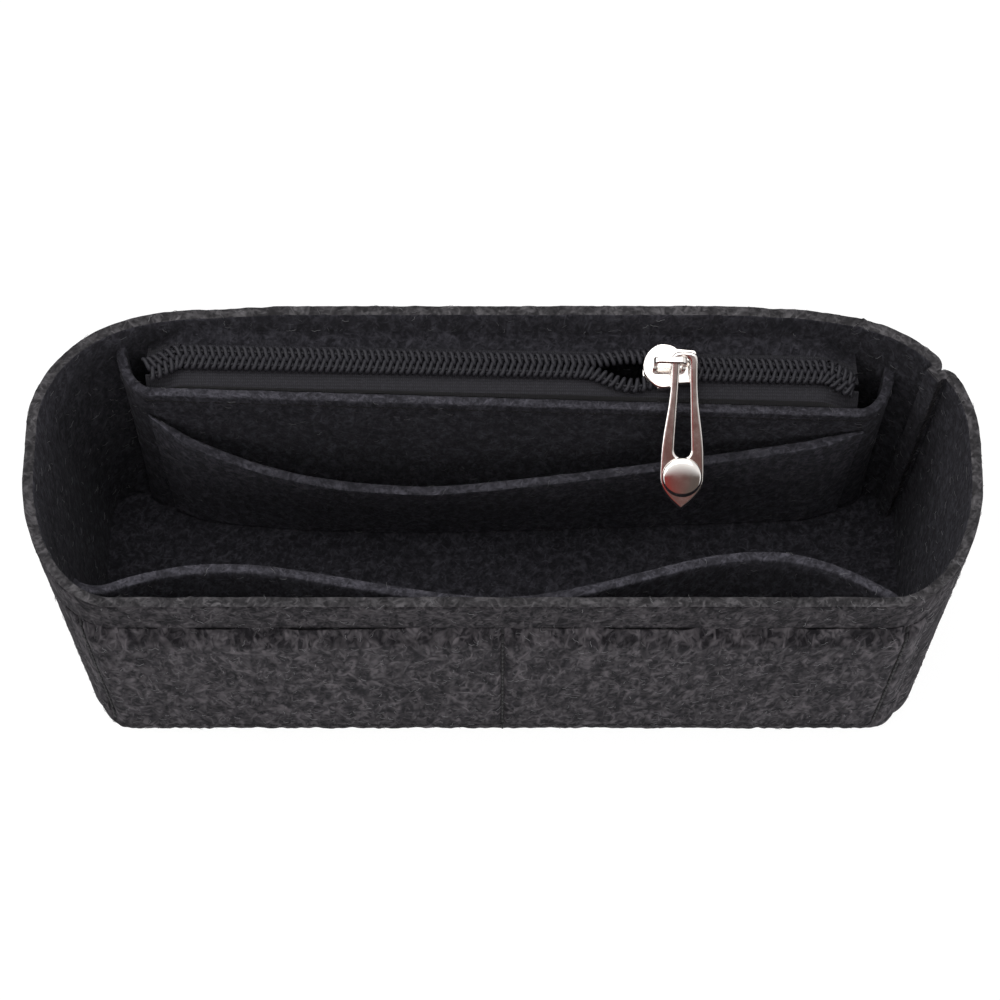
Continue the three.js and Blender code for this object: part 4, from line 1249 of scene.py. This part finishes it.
# Slider and pull
def cut_plate(name, outlines, thickness, edge, middle=0.0):
    """Plate cut to closed outlines, the first outside and the others holes, with rounded edges."""
    curve = bpy.data.curves.new(name, "CURVE")
    curve.dimensions = "2D"
    curve.fill_mode = "BOTH"
    for outline in outlines:
        spline = curve.splines.new("POLY")
        spline.points.add(len(outline) - 1)
        for point, (x, y) in zip(spline.points, outline):
            point.co = (x, y, 0, 1)
        spline.use_cyclic_u = True
    curve.extrude = thickness / 2 - edge
    curve.bevel_depth = edge
    curve.bevel_resolution = 3
    curve.offset = -edge
    cut = add_object(name, curve)
    mesh = evaluated_mesh(cut)
    bpy.data.objects.remove(cut)
    mesh.transform(Matrix.Translation((0, 0, middle)))
    mesh.shade_smooth()
    return mesh


def bezier(points, steps=10):
    """Points along a Bezier curve of any order, without its last point."""
    order = len(points) - 1
    line = []
    for step in range(steps):
        t = step / steps
        weights = [math.comb(order, k) * t**k * (1 - t) ** (order - k) for k in range(order + 1)]
        line.append(tuple(sum(w * p[axis] for w, p in zip(weights, points)) for axis in (0, 1)))
    return line


ON_AXIS = 1e-9


def mirrored(half, axis):
    """Closed outline from one half of it; a point where the axis is nought isn't repeated."""
    outline = list(half)
    for point in reversed(half):
        if abs(point[axis]) > ON_AXIS:
            outline.append(tuple(-part if index == axis else part for index, part in enumerate(point)))
    return outline


def slider_outline():
    nose = -SLIDER_LENGTH / 2
    tail = SLIDER_LENGTH / 2
    shoulder = SLIDER_SHOULDER
    wide = slider_half_width
    blunt = wide * SLIDER_NOSE_FULLNESS
    narrow = tail_half_width
    tail_corner = (tail, narrow - SLIDER_TAIL_ROUND)
    half = bezier([(nose, 0), (nose, blunt), (-2 * shoulder, wide), (-shoulder, wide)])
    half += bezier([(-shoulder, wide), (shoulder / 2, wide), (shoulder, narrow)])
    half += bezier([(tail - SLIDER_TAIL_ROUND, narrow), (tail, narrow), tail_corner])
    half.append(tail_corner)
    return mirrored(half, 1)


def joined(name, meshes):
    """One object from several closed meshes."""
    made = mesh_object(name)
    with edited(made.data) as collected:
        for mesh in meshes:
            collected.from_mesh(mesh)
        face_outward(collected)
    return made


RAIL_NOSE = -1.6 * SLIDER_SHOULDER
RAIL_NOSE_INSET = 0.02 * MM
RAIL_WAIST_INSET = 0.12 * MM
RAIL_EDGE = 0.12 * MM
POST_EDGE = 0.1 * MM


def rail_outline(side):
    """Rail down one edge of the upper plate, from the nose to the tail."""
    wide = slider_half_width
    narrow = tail_half_width
    inner = [
        (SLIDER_LENGTH / 2, narrow - RAIL),
        (SLIDER_SHOULDER, narrow - RAIL),
        (-SLIDER_SHOULDER, wide - RAIL),
        (RAIL_NOSE, wide - RAIL),
    ]
    outer = [
        (RAIL_NOSE, wide - RAIL_NOSE_INSET),
        (-SLIDER_SHOULDER, wide),
        (0, wide - RAIL_WAIST_INSET),
        (SLIDER_SHOULDER, narrow),
        (SLIDER_LENGTH / 2 - SLIDER_TAIL_ROUND / 2, narrow),
    ]
    return [(x, side * y) for x, y in inner + outer]


BAIL_STEPS = 8
BAIL_CORNER = 0.3 * MM
BAIL_CORNER_STEPS = 3


def bail_profile():
    """Cross-section of the bail's band, with rounded corners."""
    flat_x = BAIL_WIDTH / 2 - BAIL_CORNER
    flat_y = BAIL_BAND / 2 - BAIL_CORNER
    profile = []
    for x_sign, y_sign in ((1, 1), (-1, 1), (-1, -1), (1, -1)):
        for step in range(BAIL_CORNER_STEPS + 1):
            angle = math.atan2(y_sign, x_sign) - math.pi / 4 + step / BAIL_CORNER_STEPS * math.pi / 2
            turn = (BAIL_CORNER * math.cos(angle), BAIL_CORNER * math.sin(angle))
            profile.append((x_sign * flat_x + turn[0], y_sign * flat_y + turn[1]))
    return profile


def bail_mesh():
    """Bail: a flat band bent over the slider from a foot at its nose to one at its tail."""
    half_band = BAIL_BAND / 2
    start = BAIL_NOSE_FOOT + half_band
    end = BAIL_TAIL_FOOT - half_band
    foot = plate_top - SLIDER_PLATE / 2
    top = plate_top + BAIL_ROOM + half_band
    half_way = lerp(foot, top, 0.5)
    turn = BAIL_ROUND - half_band / 2
    line = [(start, foot), (start, half_way)]
    line += bezier([(start, top - turn), (start, top), (start + turn, top)], BAIL_STEPS)
    line += [(start + turn, top), ((start + end) / 2, top)]
    line += bezier([(end - turn, top), (end, top), (end, top - turn)], BAIL_STEPS)
    line += [(end, top - turn), (end, half_way), (end, foot)]
    along = unit(np.gradient(np.array(line), axis=0))
    profile = bail_profile()
    points = []
    for (x, z), (ahead_x, ahead_z) in zip(line, along):
        points += [(x - ahead_z * over, across, z + ahead_x * over) for across, over in profile]
    made = mesh_data("bail", points, ring_faces(len(line), len(profile), ends=True))
    made.shade_smooth()
    return made


def slider_metal():
    plate_middle = plate_under + SLIDER_PLATE / 2
    sole_middle = sole_top - SLIDER_PLATE / 2
    outline = slider_outline()
    front = -SLIDER_LENGTH / 2 + SLIDER_PLATE
    post_side = (front + POST_LENGTH / 2, POST_WIDTH / 2)
    half_post = bezier([(front, 0), (front, POST_WIDTH / 2), post_side])
    half_post += [post_side, (front + POST_LENGTH, 0)]
    post = [mirrored(half_post, 1)]
    meshes = [
        cut_plate("plate", [outline], SLIDER_PLATE, SLIDER_EDGE, plate_middle),
        cut_plate("sole", [outline], SLIDER_PLATE, SLIDER_EDGE, sole_middle),
        cut_plate("post", post, plate_middle - sole_middle, POST_EDGE, (plate_middle + sole_middle) / 2),
        bail_mesh(),
    ]
    rail_foot = TAPE / 2 + RUNNING_GAP
    rail_height = plate_middle - rail_foot
    for side in (1, -1):
        rail = [rail_outline(side)]
        meshes.append(cut_plate("rail", rail, rail_height, RAIL_EDGE, rail_foot + rail_height / 2))
    made = joined("slider_metal", meshes)
    made.data.transform(slider_place)
    return made


eye_end = BAIL_WIDTH / 2 + RUNNING_GAP + PULL_LEG
pull_tip = eye_end - PULL_LENGTH
rivet_place = pull_tip + PULL_RIVET_FROM_TIP

PULL_SIDE_STEPS = 24
PULL_TIP_STEPS = 14
SLOT_STEPS = 8


def pull_metal():
    eye_root = eye_end - 2 * PULL_LEG
    eye_turn = eye_end - PULL_EYE_ROUND
    waist = rivet_place / 2
    tip_side = rivet_place - PULL_HALF_WIDTH * PULL_TIP_FULLNESS
    eye = PULL_EYE_HALF
    wide = PULL_HALF_WIDTH
    half = bezier([(0, eye_end), (eye, eye_end), (eye, eye_turn), (eye, eye_root)])
    half += bezier([(eye, eye_root), (eye, waist), (wide, waist), (wide, rivet_place)], PULL_SIDE_STEPS)
    half += bezier([(wide, rivet_place), (wide, tip_side), (0, pull_tip)], PULL_TIP_STEPS)
    half.append((0, pull_tip))
    outline = mirrored(half, 0)
    slot_end = eye_end - PULL_LEG
    slot_low = rivet_place + RIVET_RADIUS
    top = PULL_SLOT_TOP_HALF
    low = PULL_SLOT_LOW_HALF
    slot = bezier([(0, slot_end), (top, slot_end), (top, slot_end - top)])
    slot += bezier([(top, slot_end - top), (low, slot_low + low)], SLOT_STEPS)
    slot += bezier([(low, slot_low + low), (low, slot_low), (0, slot_low)])
    slot.append((0, slot_low))
    slot = mirrored(slot, 0)
    made = joined("pull_metal", [cut_plate("pull", [outline, slot], PULL_THICK, PULL_EDGE)])
    made.data.transform(pull_place)
    return made


RIVET_SIDES = 64
RIVET_EDGE = 0.1 * MM
DOME_STEPS = 14
MERGED = 0.001 * MM


def rivet_metal():
    """Rivet: a domed head, a shank and a small clenched tail, turned about its own axis."""
    seat = PULL_THICK / 2 + RUNNING_GAP
    profile = [
        (0, -seat - RIVET_TAIL),
        (RIVET_TAIL_RADIUS - RIVET_RIM, -seat - RIVET_TAIL),
        (RIVET_TAIL_RADIUS, -seat),
        (RIVET_SHANK, -seat),
        (RIVET_SHANK, seat),
        (RIVET_RADIUS - RIVET_EDGE, seat),
        (RIVET_RADIUS, seat + RIVET_EDGE),
    ]
    for step in range(DOME_STEPS + 1):
        angle = step / DOME_STEPS * math.pi / 2
        rise = RIVET_RIM + (RIVET_DOME - RIVET_RIM) * math.sqrt(math.sin(angle))
        profile.append((RIVET_RADIUS * math.cos(angle), seat + rise))
    points = []
    for radius, height in profile:
        for side in range(RIVET_SIDES):
            angle = side / RIVET_SIDES * math.tau
            points.append((radius * math.cos(angle), rivet_place + radius * math.sin(angle), height))
    made = mesh_object("rivet_metal", points, ring_faces(len(profile), RIVET_SIDES))
    with edited(made.data) as mesh:
        bmesh.ops.remove_doubles(mesh, verts=mesh.verts, dist=MERGED)
        face_outward(mesh)
    made.data.shade_smooth()
    made.data.transform(pull_place)
    return made


slider = dress(slider_metal(), "slider", "slider_metal", nickel_finish)
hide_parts("slider_body")
pull = dress(pull_metal(), "puller", "pull_metal", nickel_finish)
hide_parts("pull_tab")
rivet = dress(rivet_metal(), "puller", "pull_metal", nickel_finish)
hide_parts("pull_rivet")

# One stitch: along it in half lengths, across it and off the felt in millimetres
STITCH_LINE = ((-1, 0, -0.2), (-0.7, 0, 0.02), (0, 0, 0.1), (0.7, 0, 0.02), (1, 0, -0.2))
STITCH_STEPS = 3
STITCH_SIDES = 6

# Stitch rows: where they start and end, and the points on each
SEAM_FOOT = 2 * MM
SEAM_TOP = OUTER_TOP - 1.5 * MM
SEAM_POINTS = 40
FOOT_ROW = 3 * MM
PANEL_ROW_MARGIN = 6 * MM
PANEL_ROW_DROP = 3.2 * MM
BACK_ROW_DROP = 2 * MM
ROW_POINTS = 120


def stitch_shape(radius):
    path = smooth_path(drawn(STITCH_LINE, STITCH_LENGTH / 2), STITCH_STEPS)
    return tube("stitch", path, radius, STITCH_SIDES)


def stitched(name, points, shape, facing=-1):
    """Row of stitches along a line on felt that faces the front, -1, or the back, 1."""
    line = line_object("stitch_line", points, (0, facing, 0))
    made = grown(name, line, repeat, Shape=shape, Spacing=STITCH_SPACING, Material=thread_finish)
    bpy.data.objects.remove(line)
    made.data.shade_smooth()
    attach(made, "organizer")


def on_outer_pocket(x, z, lift=0.0):
    """Line of points on the outer face of the outside pocket, or lifted off it."""
    x, z = np.broadcast_arrays(x, z)
    return np.stack([x, outer_front_y(x, z) - lift, z], -1)


stitch = stitch_shape(THREAD_RADIUS)
seam_stitch = stitch_shape(SEAM_THREAD_RADIUS)
outer_seams = (
    ("middle", 0.0, SEAM_FOOT),
    ("left", OUTER_LEFT_SEAM, OUTER_CORNER),
    ("right", OUTER_RIGHT_SEAM, OUTER_CORNER),
)
for place, seam_x, seam_foot in outer_seams:
    seam_line = on_outer_pocket(seam_x, np.linspace(seam_foot, SEAM_TOP, SEAM_POINTS), SEAM_LIFT)
    stitched(f"stitches_outer_{place}", seam_line, seam_stitch)
foot_x = np.linspace(OUTER_LEFT + OUTER_CORNER, OUTER_RIGHT - OUTER_CORNER, ROW_POINTS)
stitched("stitches_outer_foot", on_outer_pocket(foot_x, FOOT_ROW), stitch)
panel_x = np.linspace(PANEL_LEFT + PANEL_ROW_MARGIN, PANEL_RIGHT - PANEL_ROW_MARGIN, ROW_POINTS)
panel_z = panel_top(panel_x) - PANEL_ROW_DROP
panel_line = np.stack([panel_x, panel_front(panel_x, panel_z), panel_z], -1)
stitched("stitches_zip_panel", panel_line, stitch)
back_x = np.linspace(-CHAIN_HALF, CHAIN_HALF, ROW_POINTS)
back_z = zip_level(back_x) - BACK_ROW_DROP
back_line = np.stack([back_x, wall_face(back_x, back_z, 0, True), back_z], -1)
stitched("stitches_back_wall", back_line, stitch, facing=1)
for spare in (stitch, seam_stitch):
    bpy.data.objects.remove(spare)

# One loose fibre: along it in half lengths, across it and off the felt in millimetres
FIBRE_LINE = ((-1, 0.25, -0.03), (-1 / 3, 0, 0.1), (1 / 3, 0.05, 0.14), (1, -0.25, 0.02))
FIBRE_LENGTH = 1.5 * MM
FIBRE_RADIUS = 0.04 * MM
FIBRE_SIDES = 3

fibre = tube("fibre", drawn(FIBRE_LINE, FIBRE_LENGTH / 2), FIBRE_RADIUS, FIBRE_SIDES, ends=False)
fibres = fibre_tree()


def fuzz(name, felt, density, seed):
    """Fibres standing loose on one felt piece, as many to the square millimetre as asked."""
    spread = density / MM**2
    made = grown(name, felt, fibres, Shape=fibre, Density=spread, Seed=seed, Material=fibre_finish)
    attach(made, "organizer")


fuzz("wall_fibres", wall, density=0.06, seed=3)
fuzz("outer_pocket_fibres", outer, density=0.1, seed=5)
fuzz("inner_pocket_fibres", inner, density=0.05, seed=7)
fuzz("zip_panel_fibres", panel, density=0.04, seed=11)
fuzz("slip_fibres", slip, density=0.04, seed=13)
bpy.data.objects.remove(fibre)

# Stage and light
WHITE = (1, 1, 1, 1)
FLOOR_HALF = 1.5
FLOOR_LEVEL = -0.5 * MM
FLOOR_CORNERS = ((-1, -1), (1, -1), (1, 1), (-1, 1))
FLOOR_COLOUR = (0.9, 0.9, 0.9, 1)
FLOOR_WHITE_SHARE = 0.85
FLOOR_WHITE = 1.08


def seen_directly(tree):
    """One for rays from the camera, off metal or through glass, nought for light on the object."""
    path = add_node(tree, "ShaderNodeLightPath").outputs
    seen = path["Is Camera Ray"]
    for label in ("Is Glossy Ray", "Is Transmission Ray"):
        seen = add_node(tree, "ShaderNodeMath", {0: seen, 1: path[label]}, operation="MAXIMUM").outputs[0]
    return seen


def floor_paint():
    """Pale floor, white where it is seen but for the object's soft shadow."""
    paint = Paint("floor")
    white = paint.node("ShaderNodeEmission", {"Color": WHITE, "Strength": FLOOR_WHITE})
    pale = paint.node("ShaderNodeBsdfDiffuse", {"Color": FLOOR_COLOUR})
    share = paint.math("MULTIPLY", seen_directly(paint.tree), FLOOR_WHITE_SHARE)
    paint.surface(paint.node("ShaderNodeMixShader", {0: share, 1: pale, 2: white}))
    return paint.material


floor_points = [(x * FLOOR_HALF, y * FLOOR_HALF, FLOOR_LEVEL) for x, y in FLOOR_CORNERS]
floor = mesh_object("floor", floor_points, [(0, 1, 2, 3)])
floor.data.materials.append(floor_paint())

# Warm card round the camera, which only the metal reflects
CARD_RADIUS = 1.35
CARD_HALF_WIDTH = 1.7
CARD_LOW = math.radians(2)
CARD_HIGH = math.radians(84)
CARD_STEPS = 24
CARD_RED = (0.26, 0.045, 0.04, 1)
CARD_BROWN = (0.115, 0.094, 0.085, 1)
CARD_RED_END = -0.5
CARD_BROWN_START = 0.4
CARD_FADE_LOW = CARD_RADIUS * math.sin(math.radians(63))
CARD_FADE_HIGH = CARD_RADIUS * math.sin(math.radians(77))


def card_mesh():
    points = []
    for step in range(CARD_STEPS + 1):
        rise = lerp(CARD_LOW, CARD_HIGH, step / CARD_STEPS)
        for x in (-CARD_HALF_WIDTH, CARD_HALF_WIDTH):
            points.append((x, -CARD_RADIUS * math.cos(rise), CARD_RADIUS * math.sin(rise)))
    faces = [(2 * row, 2 * row + 1, 2 * row + 3, 2 * row + 2) for row in range(CARD_STEPS)]
    return mesh_object("card", points, faces)


def card_paint():
    """Reddish card on the left, brown-grey on the right, fading to white towards its top."""
    paint = Paint("card")
    place = paint.node("ShaderNodeSeparateXYZ", {0: paint.place}).outputs
    tone = paint.mix(paint.range(place["X"], CARD_RED_END, CARD_BROWN_START), CARD_RED, CARD_BROWN)
    faded = paint.mix(paint.range(place["Z"], CARD_FADE_LOW, CARD_FADE_HIGH), tone, WHITE)
    paint.surface(paint.node("ShaderNodeEmission", {"Color": faded}))
    return paint.material


card = card_mesh()
card.data.materials.append(card_paint())
card.visible_camera = False
card.visible_diffuse = False
card.visible_shadow = False

# Lights, each aimed at the middle of the object
LIGHT_TARGET = Vector((0, 0, 50 * MM))


def area_light(name, place, size, power, in_metal=False):
    """Rectangular light, mirrored in the metal only where asked."""
    data = bpy.data.lights.new(name, "AREA")
    data.shape = "RECTANGLE"
    data.size, data.size_y = size
    data.energy = power
    light = add_object(name, data)
    light.location = place
    aim(light, LIGHT_TARGET - Vector(place))
    light.visible_glossy = in_metal


area_light("overhead", (0, 0.3, 1.1), size=(1.1, 0.9), power=5.5, in_metal=True)
area_light("left_high", (-0.9, 0.1, 0.8), size=(0.6, 0.9), power=4.6, in_metal=True)
area_light("over_front", (0, -0.3, 1.1), size=(1.1, 0.5), power=5)
area_light("front", (0, -0.95, 0.85), size=(1.2, 0.5), power=3.2)
area_light("front_low", (0, -1.1, 0.25), size=(1.4, 0.4), power=0.4)
area_light("left_low", (-0.85, -0.7, 0.1), size=(0.6, 0.2), power=1)
area_light("right_low", (1.1, -0.35, 0.12), size=(0.6, 0.2), power=7.5)

# Surround: dim for the light on the object, white where it is seen
SURROUND = (0.30, 0.275, 0.27, 1)
SURROUND_STRENGTH = 0.25

world = bpy.data.worlds.new("studio")
world.use_nodes = True
scene.world = world
world_tree = world.node_tree
world_tree.nodes.clear()
surround = add_node(world_tree, "ShaderNodeBackground", {"Color": SURROUND, "Strength": SURROUND_STRENGTH})
backdrop = add_node(world_tree, "ShaderNodeBackground", {"Color": WHITE})
shown = {0: seen_directly(world_tree), 1: surround, 2: backdrop}
world_choice = add_node(world_tree, "ShaderNodeMixShader", shown)
add_node(world_tree, "ShaderNodeOutputWorld", {"Surface": world_choice})

scene.view_settings.view_transform = "Standard"
